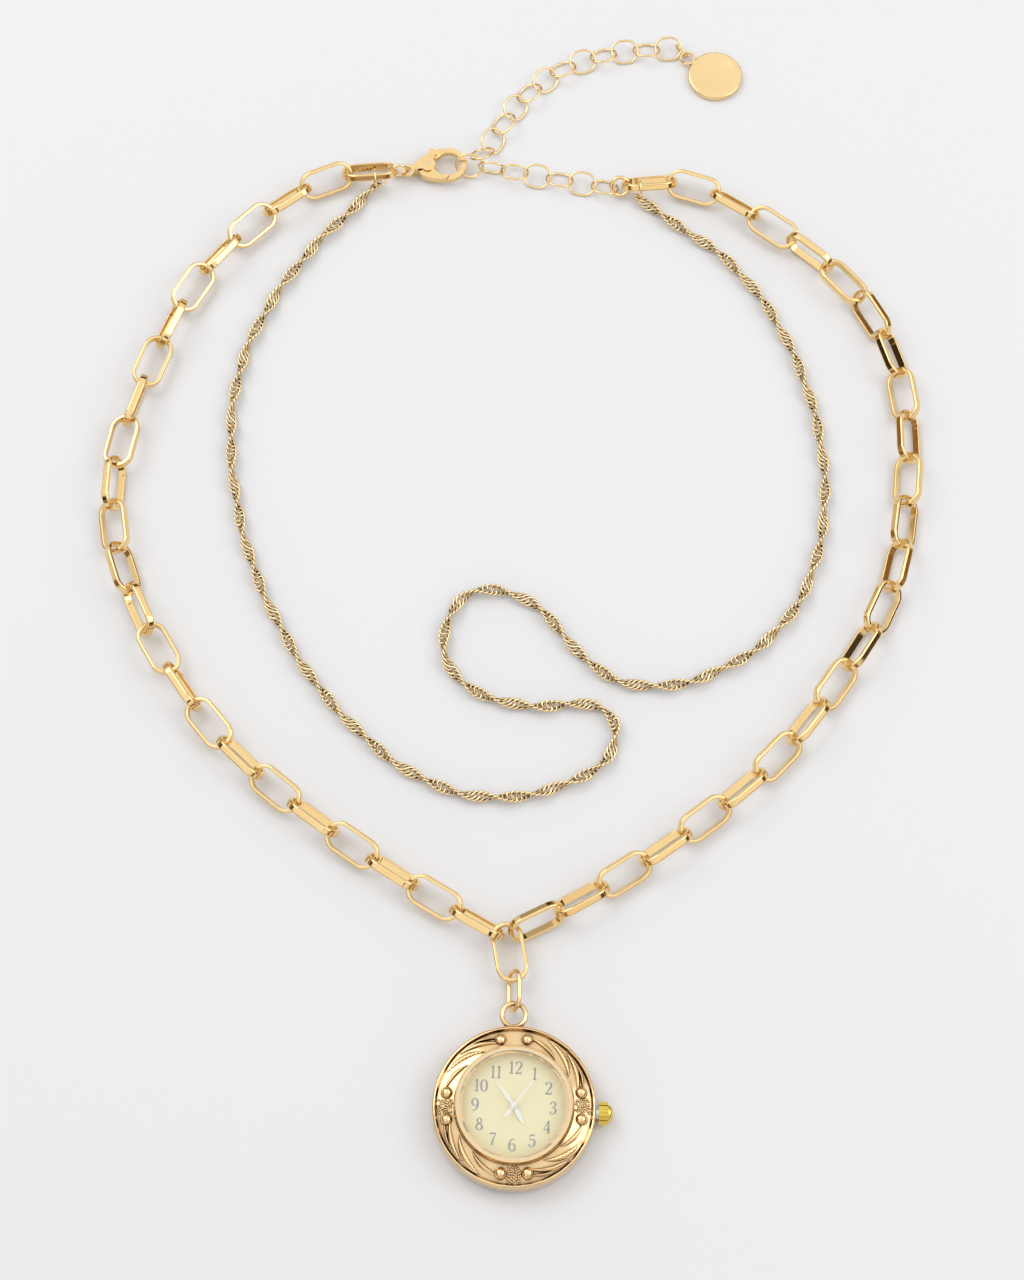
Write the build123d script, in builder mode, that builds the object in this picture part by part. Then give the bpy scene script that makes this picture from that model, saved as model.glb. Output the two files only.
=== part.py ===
from build123d import *
import math
import os

os.makedirs("parts", exist_ok=True)

# A pendant watch on a layered necklace, laid flat: origin at the centre of the case back's
# resting face, +Y towards the clasp, +Z up. All lengths in millimetres.

# Watch case, across
case_diameter = 27.0
case_wall = 2.1
case_rim = 0.8
case_round = 0.45
case_foot = 0.5
bezel_diameter = 19.5
bezel_width = 0.55
bezel_round = 0.15
gasket_width = 0.2
crystal_ledge = 0.4
dial_diameter = 19.5

# Watch case, heights
back_foot = 0.35
back_flange = 0.4
back_floor = 0.6
back_snap_height = 0.75
back_snap_width = 0.6
back_foot_diameter = 21.0
back_margin = 0.9
rim_drop = 0.45
channel_rise = 0.9
bezel_step = 0.2
ledge_thickness = 0.4
bezel_lip = 0.35
inner_bezel_slope = 0.3
crystal_edge = 0.45
crystal_dome = 0.7
fit_gap = 0.05

# Movement and dial, heights one on another
movement_gap = 0.3
bridge_thickness = 0.45
works_height = 1.25
plate_thickness = 1.0
motion_height = 0.45
dial_thickness = 0.4
hour_gap = 0.25
hand_thickness = 0.15
hand_gap = 0.2
crystal_gap = 0.2

# Movement, across
movement_turn = -2.7
holder_lip = 0.45
holder_wall = 1.7
bridge_margin = 0.6
arbor_radius = 0.12
arbor_play = 0.03
centre_arbor_radius = 0.15
centre_play = 0.05
cannon_wall = 0.18
hour_tube_wall = 0.22
wheel_thickness = 0.15
wheel_spacing = 0.05
mesh_gap = 0.03
battery_diameter = 5.8
battery_height = 2.1
battery_offset = 6.0
battery_play = 0.15
battery_contact_thickness = 0.2
battery_contact_width = 1.6
stem_radius = 0.4
stem_drop = 0.6
stem_inner_end = 5.0
stem_block = 1.4
stem_block_gap = 0.3
dial_foot_radius = 0.3
dial_foot_share = 0.78
dial_foot_angles = (60.0, 180.0)
screw_radius = 0.35
screw_head_radius = 0.7
screw_head_height = 0.25
pillar_radius = 0.8
pillar_share = 0.85
pillar_angles = (32.0, 120.0, 215.0)

works_share = 0.8
pivot_sink_share = 0.33
battery_pole_share = 0.78
battery_pole_height = 0.35
stem_groove_depth = 0.15
stem_groove_width = 0.35
stem_seat = 0.8
lever_width = 1.5

# Wheels of the movement: teeth, centre distances and directions
rotor_leaves = 10
intermediate_teeth = 60
intermediate_leaves = 10
second_teeth = 50
second_leaves = 8
third_teeth = 60
third_leaves = 8
centre_teeth = 64
cannon_leaves = 12
motion_teeth = 36
motion_leaves = 10
hour_teeth = 40
third_reach = 2.6
intermediate_reach = 2.55
rotor_reach = 1.75
motion_reach = 1.95
third_angle = 90.0
intermediate_angle = 200.0
rotor_angle = 180.0
motion_angle = 60.0
magnet_radius = 0.6
tooth_shares = (-0.34, -0.16, 0.16, 0.34)
tooth_depth_share = 1.8

# Coil, stator and circuit board
coil_radius = 0.5
coil_length = 6.0
coil_core_radius = 0.2
coil_core_end = 0.9
coil_reach = 2.85
stator_thickness = 0.25
stator_width = 2.3
stator_gap = 0.2
stator_low_end = 1.7
stator_high_end = 6.0
board_thickness = 0.2
board_inner_radius = 5.3
board_start = 42.0
board_end = 84.0
chip_size = 1.6
chip_height = 0.5

# Crown
crown_diameter = 3.8
crown_grip = 1.45
crown_dome = 0.83
crown_dome_inset = 0.45
crown_flutes = 22
crown_flute_radius = 0.16
crown_neck = 0.7
crown_recess = 0.9
crown_seat_share = 0.3
crown_round_share = 0.9
crown_tube_radius = 0.95
crown_tube_sink = 1.9

# Hands
minute_hand_length = 4.75
minute_hand_width = 0.62
minute_hand_angle = 324.0
hour_hand_length = 3.6
hour_hand_width = 0.85
hour_hand_angle = 152.0
second_hand_length = 5.0
second_hand_tail = 2.35
second_hand_width = 0.26
second_hand_pad_place_share = 0.7
second_hand_pad_share = 0.6
second_hand_angle = 38.0
lance_shares = [(-0.10, 0.55), (0.10, 0.62), (0.34, 1.0), (0.62, 0.80), (1.0, 0.16)]
hub_rim = 0.32

# Ornament round the case
bead_radius = 1.05
bead_ring_share = 0.833
bead_angle = 11.3
bead_sink = 0.15
leaf_height = 0.2
leaf_fall_share = 0.8
leaf_hollow_share = 0.1
leaf_depth = 0.3

# Bail and the ring through it
bail_outer_radius = 2.42
bail_wire = 0.85
bail_sink = 0.22
bail_height = 2.7
bail_slack = 0.22
watch_ring_length = 7.4
watch_ring_width = 4.6
watch_ring_wire = 0.75
watch_ring_roll = 62.0
watch_ring_height = 2.4
joint_slack = 0.12

# Paperclip links of the main chain
loop_half_width = 71.8
loop_height = 148.4
links_a_side = 24
link_width = 5.5
strip_thickness = 0.65
strip_height = 1.4
strip_outer_round = 0.3
strip_inner_round = 0.1
link_slack = 0.5
link_lift_share = 0.9
left_rolls = [-35, 42, -50, 28, -55, 22, -62, 10, -78, -8, 64, -28, 44, -64, 6, 72, -15, 60]
left_rolls += [-25, 60, -25, 60, -24, 64]
right_rolls = [-44, 38, -52, 20, 88, -12, 58, -46, 38, -45, 38, -42, 50, -38, 52, -35, 55, -32]
right_rolls += [56, -32, 56, -34, 50, -62]
pendant_lean = 9.5
pendant_height = 2.4
pendant_inner_share = 1.64
pendant_slack = 0.75
left_bow_angle = 60.0
right_bow_angle = 62.0
left_bow_slack = 0.5
right_bow_slack = 0.6

# Extender links, rings and tag
wire = 0.42
extender_width = 4.6
extender_slack = 0.3
extender_spacing = 4.3
extender_lift_share = 0.6
extender_rise_share = 0.035
extender_rolls = [44, -84, -22, 32, -27, 27, -27]
tail_headings = [57, 62, 61, 54, 47, 41, 29, 20, 17, 7, 3, 6]
tail_rolls = [-30, 27, -27, 27, -27, 27, -27, 27, -27, 27, -27, 27]
clasp_ring_radius = 2.0
clasp_ring_wire = 0.5
clasp_ring_height = 2.1
clasp_ring_slack = 0.6
extender_ring_radius = 2.1
extender_ring_wire = 0.75
twist_ring_radius = 1.7
twist_ring_wire = 0.5
tag_diameter = 10.3
tag_thickness = 1.2
tag_dish = 0.35
tag_dish_share = 0.8
tag_edge_round = 0.3
tag_lug_radius = 1.5
tag_lug_wire = 0.4
tag_ring_radius = 1.75
tag_ring_wire = 0.42

# Lobster clasp, in its own length
clasp_eye_radius = 1.2
clasp_eye_bore = 0.65
clasp_eye_thickness = 0.8
clasp_thickness = 2.4
clasp_heading = 9.5
clasp_hook_reach = 7.7
clasp_hook_radius = 3.4
clasp_hook_wire = 1.0
clasp_hook_thickness = 1.1
hook_slack = 0.6
clasp_pivot_reach = 3.8
clasp_pivot_side = 0.3
clasp_hub_radius = 1.4
clasp_gate_radius = 4.6
clasp_gap = 0.08
clasp_slot = 1.2
clasp_lever_thickness = 1.0
clasp_lever_radius = 0.85
clasp_nub_length = 3.8
clasp_nub_width = 0.9
clasp_nub_angle = 69.0
clasp_pin_radius = 0.35
clasp_pin_play = 0.05
clasp_spring_thickness = 0.15
clasp_height = 1.7
clasp_gate_thickness = 1.5
clasp_slot_start = 2.3
clasp_slot_end = 6.0

clasp_arm_angle = -60.0
clasp_arm_length = 2.6
clasp_spring_length = 1.4

# Rings beside the clasp, at the extender and on the tag
extender_ring_roll = 48.0
extender_ring_height = 2.1
extender_ring_bend = 8.0
extender_ring_slack = 0.56
tail_bow_angle = 62.0
tail_slack = 0.1
tag_ring_heading = -45.0
tag_bow_angle = -14.0
tag_ring_slack = 0.3
tag_ring_roll = 74.0
tag_ring_height = 1.79
tag_lug_slack = 0.35
tag_heading = -36.0
twist_ring_hang = 0.35
left_twist_share = 0.3
right_twist_share = 0.1

# Fine twisted chain
twisted_diameter = 2.6
bend_share = 0.45
overrun = 1.0

# Radii of the case
case_radius = case_diameter / 2
bezel_radius = bezel_diameter / 2
bore_radius = case_radius - case_wall
gasket_radius = bezel_radius - bezel_width
crystal_radius = gasket_radius - gasket_width
ledge_radius = crystal_radius - crystal_ledge
dial_radius = dial_diameter / 2
rim_radius = case_radius - case_rim
channel_inner = bezel_radius + bezel_step
channel_width = rim_radius - channel_inner

# Heights of the case and the movement
ring_bottom = back_foot + back_flange
bridge_bottom = back_floor + movement_gap
works_bottom = bridge_bottom + bridge_thickness
plate_bottom = works_bottom + works_height
plate_top = plate_bottom + plate_thickness
dial_bottom = plate_top + motion_height
dial_top = dial_bottom + dial_thickness
hour_hand_bottom = dial_top + hour_gap
minute_hand_bottom = hour_hand_bottom + hand_thickness + hand_gap
second_hand_bottom = minute_hand_bottom + hand_thickness + hand_gap
crystal_seat = second_hand_bottom + hand_thickness + crystal_gap
ledge_bottom = crystal_seat - ledge_thickness
bezel_top = crystal_seat + bezel_lip
rim_top = dial_top
channel_low = rim_top - rim_drop
channel_high = channel_low + channel_rise
stem_height = plate_bottom - stem_drop
board_level = plate_bottom - board_thickness


# Heights on the turned movement, whose twelve stands a little to the right of the bail
def level(height):
    """A plane across the watch at a height, turned with the dial."""
    return Plane.XY.rotated((0, 0, movement_turn)).offset(height)


def polar(radius, angle):
    """A point in a plane, the angle counted from three o'clock."""
    return (radius * math.cos(math.radians(angle)), radius * math.sin(math.radians(angle)))


# Case ring: a turned brass ring with a rolled rim, an ornament channel and a crystal seat
leaf_quadrant_shares = [
    (0.04, 0.64, 0.44, 0.10, 0.20),
    (0.25, 0.92, 0.73, 0.12, 0.26),
    (0.51, 0.92, 0.96, 0.29, 0.21),
    (0.69, 0.93, 0.95, 0.66, 0.11),
]


def leaf_outline(start_share, start_rise, end_share, end_rise, width_share):
    """Points of one long leaf, as (share of the quadrant, share of the channel's width)."""
    run = end_share - start_share
    rise = end_rise - start_rise
    near, near_rise = start_share + run / 3, start_rise + rise / 3
    far, far_rise = end_share - run / 3, end_rise - rise / 3
    hollow = width_share * leaf_hollow_share
    return [
        (start_share, start_rise),
        (near, near_rise + width_share),
        (far, far_rise + width_share * leaf_fall_share),
        (end_share, end_rise),
        (far, far_rise - hollow),
        (near, near_rise - 2 * hollow),
    ]


def channel_point(turn_share, rise_share, quadrant):
    """A point of the channel: clockwise from the quadrant's start, outwards from the bezel."""
    span = 90 - 2 * bead_angle
    angle = 90 - 90 * quadrant - bead_angle - turn_share * span
    return polar(channel_inner + rise_share * channel_width, angle)


bead_ring = case_radius * bead_ring_share
bead_slope = (rim_radius - bead_ring) / channel_width
bead_height = channel_low + channel_rise * bead_slope - bead_sink

with BuildPart() as ornament:
    with BuildSketch(Plane.XZ):
        with BuildLine():
            Polyline(
                (channel_inner, channel_high - leaf_depth),
                (channel_inner, channel_high + leaf_height),
                (rim_radius, channel_low + leaf_height),
                (rim_radius, channel_low - leaf_depth),
                close=True,
            )
        make_face()
    revolve(axis=Axis.Z)
    with BuildSketch(Plane.XY.offset(channel_low - leaf_depth)):
        for quadrant in range(4):
            for leaf in leaf_quadrant_shares:
                with BuildLine():
                    corners = [channel_point(*corner, quadrant) for corner in leaf_outline(*leaf)]
                    upper = Spline(corners[:4])
                    lower = Spline([corners[3], *corners[4:], corners[0]])
                make_face()
    extrude(amount=channel_rise + leaf_height + leaf_depth, mode=Mode.INTERSECT)
    for side in (-1, 1):
        with PolarLocations(bead_ring, 4, start_angle=side * bead_angle):
            with Locations((0, 0, bead_height)):
                Sphere(bead_radius)
    with BuildSketch(Plane.XY.offset(dial_bottom - fit_gap)):
        Circle(bore_radius)
    extrude(amount=-2 * bead_radius, mode=Mode.SUBTRACT)

bail_reach = case_radius + bail_outer_radius - bail_sink
bail_ring_radius = bail_outer_radius - bail_wire / 2
stem_plane = Plane(
    origin=(0, 0, stem_height),
    x_dir=(math.sin(math.radians(-movement_turn)), math.cos(math.radians(-movement_turn)), 0),
    z_dir=(math.cos(math.radians(movement_turn)), math.sin(math.radians(movement_turn)), 0),
)

with BuildPart() as case_ring:
    with BuildSketch(Plane.XZ):
        with BuildLine():
            foot = Line((bore_radius, ring_bottom), (case_radius - case_foot, ring_bottom))
            cove = Line(foot @ 1, (case_radius, ring_bottom + case_foot))
            side = Line(cove @ 1, (case_radius, rim_top - case_round))
            roll_over = JernArc(side @ 1, (0, 1), case_round, 90)
            rim = Line(roll_over @ 1, (rim_radius, channel_low))
            channel = Line(rim @ 1, (channel_inner, channel_high))
            Polyline(
                channel @ 1,
                (bezel_radius, channel_high + bezel_step),
                (bezel_radius, bezel_top - bezel_round),
                (bezel_radius - bezel_round, bezel_top),
                (gasket_radius, bezel_top),
                (gasket_radius, crystal_seat),
                (ledge_radius, crystal_seat),
                (ledge_radius, ledge_bottom),
                (gasket_radius, ledge_bottom),
                (gasket_radius, dial_top),
                (dial_radius + fit_gap, dial_top),
                (dial_radius + fit_gap, dial_bottom - fit_gap),
                (bore_radius, dial_bottom - fit_gap),
                foot @ 0,
            )
        make_face()
    revolve(axis=Axis.Z)
    with BuildSketch(stem_plane):
        Circle(crown_tube_radius)
    extrude(amount=case_radius + overrun, mode=Mode.SUBTRACT)
    add(ornament.part)
    with Locations((0, bail_reach, bail_height)):
        Torus(bail_ring_radius, bail_wire / 2)
case_ring.part.label = "case_ring"
export_step(case_ring.part, "parts/case_ring.step")

# Case back: a snap-on lid whose flat middle is what the watch lies on
back_radius = case_radius - back_margin
snap_radius = bore_radius - fit_gap

with BuildPart() as case_back:
    with BuildSketch(Plane.XZ):
        with BuildLine():
            Polyline(
                (0, 0),
                (back_foot_diameter / 2, 0),
                (back_radius, back_foot),
                (back_radius, ring_bottom),
                (snap_radius, ring_bottom),
                (snap_radius, ring_bottom + back_snap_height),
                (snap_radius - back_snap_width, ring_bottom + back_snap_height),
                (snap_radius - back_snap_width, back_floor),
                (0, back_floor),
                close=True,
            )
        make_face()
    revolve(axis=Axis.Z)
case_back.part.label = "case_back"
export_step(case_back.part, "parts/case_back.step")

# Crystal: a domed mineral glass on the case ring's ledge
crystal_crown_radius = (crystal_radius**2 + crystal_dome**2) / (2 * crystal_dome)

with BuildPart() as crystal:
    with BuildSketch(Plane.XZ):
        with BuildLine():
            base = Polyline(
                (0, crystal_seat + crystal_edge + crystal_dome),
                (0, crystal_seat),
                (crystal_radius, crystal_seat),
                (crystal_radius, crystal_seat + crystal_edge),
            )
            RadiusArc(base @ 1, base @ 0, -crystal_crown_radius)
        make_face()
    revolve(axis=Axis.Z)
crystal.part.label = "crystal"
export_step(crystal.part, "parts/crystal.step")

# Crystal gasket: a nylon ring pressed round the glass
with BuildPart() as crystal_gasket:
    with BuildSketch(Plane.XY.offset(crystal_seat)):
        Circle(gasket_radius)
        Circle(crystal_radius, mode=Mode.SUBTRACT)
    extrude(amount=bezel_lip)
crystal_gasket.part.label = "crystal_gasket"
export_step(crystal_gasket.part, "parts/crystal_gasket.step")

# Inner bezel: the sloping ring between the dial and the glass

with BuildPart() as inner_bezel:
    with BuildSketch(Plane.XZ):
        with BuildLine():
            Polyline(
                (ledge_radius, dial_top),
                (gasket_radius - fit_gap, dial_top),
                (gasket_radius - fit_gap, ledge_bottom),
                (ledge_radius + inner_bezel_slope, ledge_bottom),
                close=True,
            )
        make_face()
    revolve(axis=Axis.Z)
inner_bezel.part.label = "inner_bezel"
export_step(inner_bezel.part, "parts/inner_bezel.step")

# Arbors of the movement, all worked out from the tooth counts
third_place = polar(third_reach, third_angle)
intermediate_place = polar(intermediate_reach, intermediate_angle)
rotor_step = polar(rotor_reach, rotor_angle)
rotor_place = (intermediate_place[0] + rotor_step[0], intermediate_place[1] + rotor_step[1])
motion_place = polar(motion_reach, motion_angle)
battery_place = (0, -battery_offset)
centre_place = (0, 0)

second_level = works_bottom + 2 * wheel_spacing
second_leaf_level = second_level + wheel_thickness
third_level = second_leaf_level + wheel_thickness
third_leaf_level = third_level + wheel_thickness
centre_level = third_leaf_level + 2 * wheel_thickness
intermediate_level = third_level + wheel_spacing
motion_level = plate_top + wheel_spacing
hour_level = motion_level + wheel_thickness + wheel_spacing
cannon_radius = centre_arbor_radius + centre_play + cannon_wall
hour_tube_bore = cannon_radius + centre_play
hour_tube_radius = hour_tube_bore + hour_tube_wall



def pitch_radius(teeth, partner_teeth, reach):
    """Half of the centre distance that falls to a wheel, less half the mesh gap."""
    return reach * teeth / (teeth + partner_teeth) - mesh_gap / 2


def tooth_points(teeth, tip_radius):
    """Outline of a toothed wheel, four points to a tooth."""
    root_radius = tip_radius * (1 - tooth_depth_share / (teeth + 4))
    points = []
    for tooth in range(teeth):
        for share, radius in zip(tooth_shares, (root_radius, tip_radius, tip_radius, root_radius)):
            points.append(polar(radius, 360 * (tooth + share) / teeth))
    return points


def cylinder(place, radius, bottom, top):
    """A round arbor or boss of the movement, from one height to another."""
    with BuildPart() as made:
        with BuildSketch(level(bottom)):
            with Locations(place):
                Circle(radius)
        extrude(amount=top - bottom)
    return made.part


def toothed_disc(place, teeth, tip_radius, bottom, thickness):
    """One toothed disc of the movement."""
    with BuildPart() as made:
        with BuildSketch(level(bottom)):
            with Locations(place):
                Polygon(*tooth_points(teeth, tip_radius), align=None)
        extrude(amount=thickness)
    return made.part


pivot_low = bridge_bottom + bridge_thickness * pivot_sink_share
pivot_high = plate_bottom + plate_thickness * pivot_sink_share
pivot_places = [third_place, intermediate_place, rotor_place]

# Movement plate: the brass plate that carries the train, the battery and the stem
pillar_places = [polar(dial_radius * pillar_share, angle) for angle in pillar_angles]
dial_foot_places = [polar(dial_radius * dial_foot_share, angle) for angle in dial_foot_angles]
plate_radius = bore_radius - fit_gap - holder_wall
battery_bottom = plate_bottom - battery_height + battery_contact_thickness + fit_gap
battery_top = battery_bottom + battery_height
contact_top = battery_top + battery_contact_thickness
stem_block_start = stem_inner_end + stem_block_gap

with BuildPart() as movement_plate:
    with BuildSketch(level(plate_bottom)):
        Circle(plate_radius)
    extrude(amount=plate_thickness)
    with BuildSketch(level(works_bottom)):
        with Locations(*pillar_places):
            Circle(pillar_radius)
        with Locations((stem_block_start + stem_block / 2, 0)):
            Rectangle(stem_block, stem_block)
    extrude(amount=works_height)
    with BuildSketch(level(plate_bottom)):
        with Locations(battery_place):
            Circle(battery_diameter / 2 + battery_play)
    extrude(amount=contact_top - plate_bottom, mode=Mode.SUBTRACT)
    with BuildSketch(level(plate_bottom)):
        with Locations(*pivot_places):
            Circle(arbor_radius + arbor_play)
    extrude(amount=pivot_high - plate_bottom + arbor_play, mode=Mode.SUBTRACT)
    with BuildSketch(level(plate_bottom)):
        Circle(cannon_radius + centre_play)
        with Locations(*dial_foot_places):
            Circle(dial_foot_radius)
    extrude(amount=plate_thickness, mode=Mode.SUBTRACT)
    with BuildSketch(level(works_bottom)):
        with Locations(*pillar_places):
            Circle(screw_radius)
    extrude(amount=works_height, mode=Mode.SUBTRACT)
    with BuildSketch(level(plate_top)):
        with Locations(motion_place):
            Circle(arbor_radius)
    extrude(amount=-plate_thickness / 2, mode=Mode.SUBTRACT)
    with BuildSketch(stem_plane.offset(stem_block_start - overrun)):
        Circle(stem_radius + fit_gap)
    extrude(amount=stem_block + 2 * overrun, mode=Mode.SUBTRACT)
movement_plate.part.label = "movement_plate"
export_step(movement_plate.part, "parts/movement_plate.step")

# Movement bridge: the lower plate that holds the train's other pivots
bridge_radius = plate_radius - bridge_margin

with BuildPart() as movement_bridge:
    with BuildSketch(level(bridge_bottom)):
        Circle(bridge_radius)
        with Locations(battery_place):
            Circle(battery_diameter / 2 + battery_play, mode=Mode.SUBTRACT)
        with Locations((0, -battery_offset - battery_diameter)):
            Rectangle(battery_diameter, 2 * battery_diameter, mode=Mode.SUBTRACT)
        with Locations(*pillar_places):
            Circle(screw_radius, mode=Mode.SUBTRACT)
        with Locations(*pivot_places):
            Circle(arbor_radius + arbor_play, mode=Mode.SUBTRACT)
        Circle(centre_arbor_radius + arbor_play, mode=Mode.SUBTRACT)
    extrude(amount=bridge_thickness)
movement_bridge.part.label = "movement_bridge"
export_step(movement_bridge.part, "parts/movement_bridge.step")

# Bridge screws: three, from below into the plate's pillars
with BuildPart() as bridge_screws:
    with BuildSketch(level(bridge_bottom - screw_head_height)):
        with Locations(*pillar_places):
            Circle(screw_head_radius)
    extrude(amount=screw_head_height)
    with BuildSketch(level(bridge_bottom)):
        with Locations(*pillar_places):
            Circle(screw_radius)
    extrude(amount=bridge_thickness + works_height * works_share)
    with BuildSketch(level(bridge_bottom - screw_head_height)):
        with Locations(*pillar_places):
            Rectangle(2 * screw_head_radius, screw_radius / 2)
    extrude(amount=screw_head_height / 2, mode=Mode.SUBTRACT)
bridge_screws.part.label = "bridge_screws"
export_step(bridge_screws.part, "parts/bridge_screws.step")

# Movement holder: the moulded ring that centres the movement in the case
holder_radius = bore_radius - fit_gap
holder_bottom = ring_bottom + back_snap_height + fit_gap

with BuildPart() as movement_holder:
    with BuildSketch(level(holder_bottom)):
        Circle(holder_radius)
        Circle(plate_radius, mode=Mode.SUBTRACT)
    extrude(amount=dial_bottom - fit_gap - holder_bottom)
    with BuildSketch(level(holder_bottom)):
        Circle(plate_radius)
        Circle(plate_radius - holder_lip, mode=Mode.SUBTRACT)
    extrude(amount=plate_bottom - holder_bottom)
    with BuildSketch(stem_plane):
        Circle(stem_radius + fit_gap + mesh_gap)
    extrude(amount=case_radius, mode=Mode.SUBTRACT)
movement_holder.part.label = "movement_holder"
export_step(movement_holder.part, "parts/movement_holder.step")

# Battery cell: a button cell with its insulated smaller pole upwards

with BuildPart() as battery_cell:
    with BuildSketch(level(battery_bottom)):
        with Locations(battery_place):
            Circle(battery_diameter / 2)
    extrude(amount=battery_height - battery_pole_height)
    with BuildSketch(level(battery_top - battery_pole_height)):
        with Locations(battery_place):
            Circle(battery_diameter / 2 * battery_pole_share)
    extrude(amount=battery_pole_height)
battery_cell.part.label = "battery_cell"
export_step(battery_cell.part, "parts/battery_cell.step")

# Battery contact: the flat spring between the cell and the plate
with BuildPart() as battery_contact:
    with BuildSketch(level(battery_top)):
        with Locations(battery_place):
            Rectangle(battery_diameter * battery_pole_share, battery_contact_width)
    extrude(amount=battery_contact_thickness)
battery_contact.part.label = "battery_contact"
export_step(battery_contact.part, "parts/battery_contact.step")

# Stepping motor: coil on its core, stator and rotor
coil_x = rotor_place[0] - coil_reach
coil_middle = rotor_place[1] + (stator_high_end - stator_low_end) / 2
coil_height = works_bottom + works_height / 2
stator_level = works_bottom + 2 * wheel_spacing

coil_plane = Plane(level(coil_height).from_local_coords((coil_x, coil_middle, 0)), z_dir=level(0).y_dir)

with BuildPart() as coil:
    with BuildSketch(coil_plane.offset(-coil_length / 2)):
        Circle(coil_radius)
    extrude(amount=coil_length)
    with BuildSketch(coil_plane.offset(-coil_length / 2 - coil_core_end)):
        Circle(coil_core_radius)
    extrude(amount=coil_length + 2 * coil_core_end)
coil.part.label = "coil"
export_step(coil.part, "parts/coil.step")

with BuildPart() as stator:
    with BuildSketch(level(stator_level)):
        with Locations((rotor_place[0], coil_middle)):
            Rectangle(stator_width, stator_low_end + stator_high_end)
        for end in (-1, 1):
            end_y = coil_middle + end * (coil_length + coil_core_end + stator_gap) / 2
            with Locations(((rotor_place[0] + coil_x) / 2, end_y)):
                Rectangle(coil_reach + 2 * coil_core_radius, coil_core_end - stator_gap)
        with Locations(rotor_place):
            Circle(magnet_radius + stator_gap, mode=Mode.SUBTRACT)
    extrude(amount=stator_thickness)
stator.part.label = "stator"
export_step(stator.part, "parts/stator.step")

with BuildPart() as rotor:
    add(cylinder(rotor_place, arbor_radius, pivot_low, pivot_high))
    add(cylinder(rotor_place, magnet_radius, stator_level, intermediate_level - wheel_spacing))
    add(
        toothed_disc(
            rotor_place,
            rotor_leaves,
            pitch_radius(rotor_leaves, intermediate_teeth, rotor_reach),
            intermediate_level - wheel_spacing,
            wheel_thickness + 2 * wheel_spacing,
        )
    )
rotor.part.label = "rotor"
export_step(rotor.part, "parts/rotor.step")

# Circuit board with its chip and quartz can, on the side away from the motor
board_middle = (board_start + board_end) / 2
board_outer_radius = plate_radius - holder_lip - bridge_margin / 2

with BuildPart() as circuit_board:
    with BuildSketch(level(board_level)):
        with BuildLine():
            inner = CenterArc((0, 0), board_inner_radius, board_start, board_end - board_start)
            outer = CenterArc((0, 0), board_outer_radius, board_start, board_end - board_start)
            Line(inner @ 0, outer @ 0)
            Line(inner @ 1, outer @ 1)
        make_face()
    extrude(amount=board_thickness)
    with BuildSketch(level(board_level)):
        with Locations(polar((board_inner_radius + board_outer_radius) / 2, board_middle)):
            Rectangle(chip_size, chip_size)
    extrude(amount=-chip_height)
circuit_board.part.label = "circuit_board"
export_step(circuit_board.part, "parts/circuit_board.step")

# Going train: intermediate, third, second and centre wheels
with BuildPart() as intermediate_wheel:
    add(cylinder(intermediate_place, arbor_radius, pivot_low, pivot_high))
    add(
        toothed_disc(
            intermediate_place,
            intermediate_leaves,
            pitch_radius(intermediate_leaves, second_teeth, intermediate_reach),
            second_level - wheel_spacing,
            intermediate_level - second_level + wheel_spacing,
        )
    )
    add(
        toothed_disc(
            intermediate_place,
            intermediate_teeth,
            pitch_radius(intermediate_teeth, rotor_leaves, rotor_reach),
            intermediate_level,
            wheel_thickness,
        )
    )
intermediate_wheel.part.label = "intermediate_wheel"
export_step(intermediate_wheel.part, "parts/intermediate_wheel.step")

with BuildPart() as third_wheel:
    add(cylinder(third_place, arbor_radius, pivot_low, pivot_high))
    add(
        toothed_disc(
            third_place,
            third_teeth,
            pitch_radius(third_teeth, second_leaves, third_reach),
            third_level,
            wheel_thickness,
        )
    )
    add(
        toothed_disc(
            third_place,
            third_leaves,
            pitch_radius(third_leaves, centre_teeth, third_reach),
            third_leaf_level,
            centre_level + wheel_thickness - third_leaf_level,
        )
    )
third_wheel.part.label = "third_wheel"
export_step(third_wheel.part, "parts/third_wheel.step")

with BuildPart() as second_wheel:
    add(cylinder(centre_place, centre_arbor_radius, pivot_low, second_hand_bottom))
    add(
        toothed_disc(
            centre_place,
            second_teeth,
            pitch_radius(second_teeth, intermediate_leaves, intermediate_reach),
            second_level,
            wheel_thickness,
        )
    )
    add(
        toothed_disc(
            centre_place,
            second_leaves,
            pitch_radius(second_leaves, third_teeth, third_reach),
            second_leaf_level,
            third_leaf_level + wheel_spacing - second_leaf_level,
        )
    )
second_wheel.part.label = "second_wheel"
export_step(second_wheel.part, "parts/second_wheel.step")

with BuildPart() as centre_wheel:
    add(
        toothed_disc(
            centre_place,
            centre_teeth,
            pitch_radius(centre_teeth, third_leaves, third_reach),
            centre_level,
            wheel_thickness,
        )
    )
    add(cylinder(centre_place, cannon_radius, centre_level, minute_hand_bottom))
    add(
        toothed_disc(
            centre_place,
            cannon_leaves,
            pitch_radius(cannon_leaves, motion_teeth, motion_reach),
            motion_level,
            wheel_thickness,
        )
    )
    with BuildSketch(level(centre_level)):
        Circle(centre_arbor_radius + centre_play)
    extrude(amount=minute_hand_bottom - centre_level, mode=Mode.SUBTRACT)
centre_wheel.part.label = "centre_wheel"
export_step(centre_wheel.part, "parts/centre_wheel.step")

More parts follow.
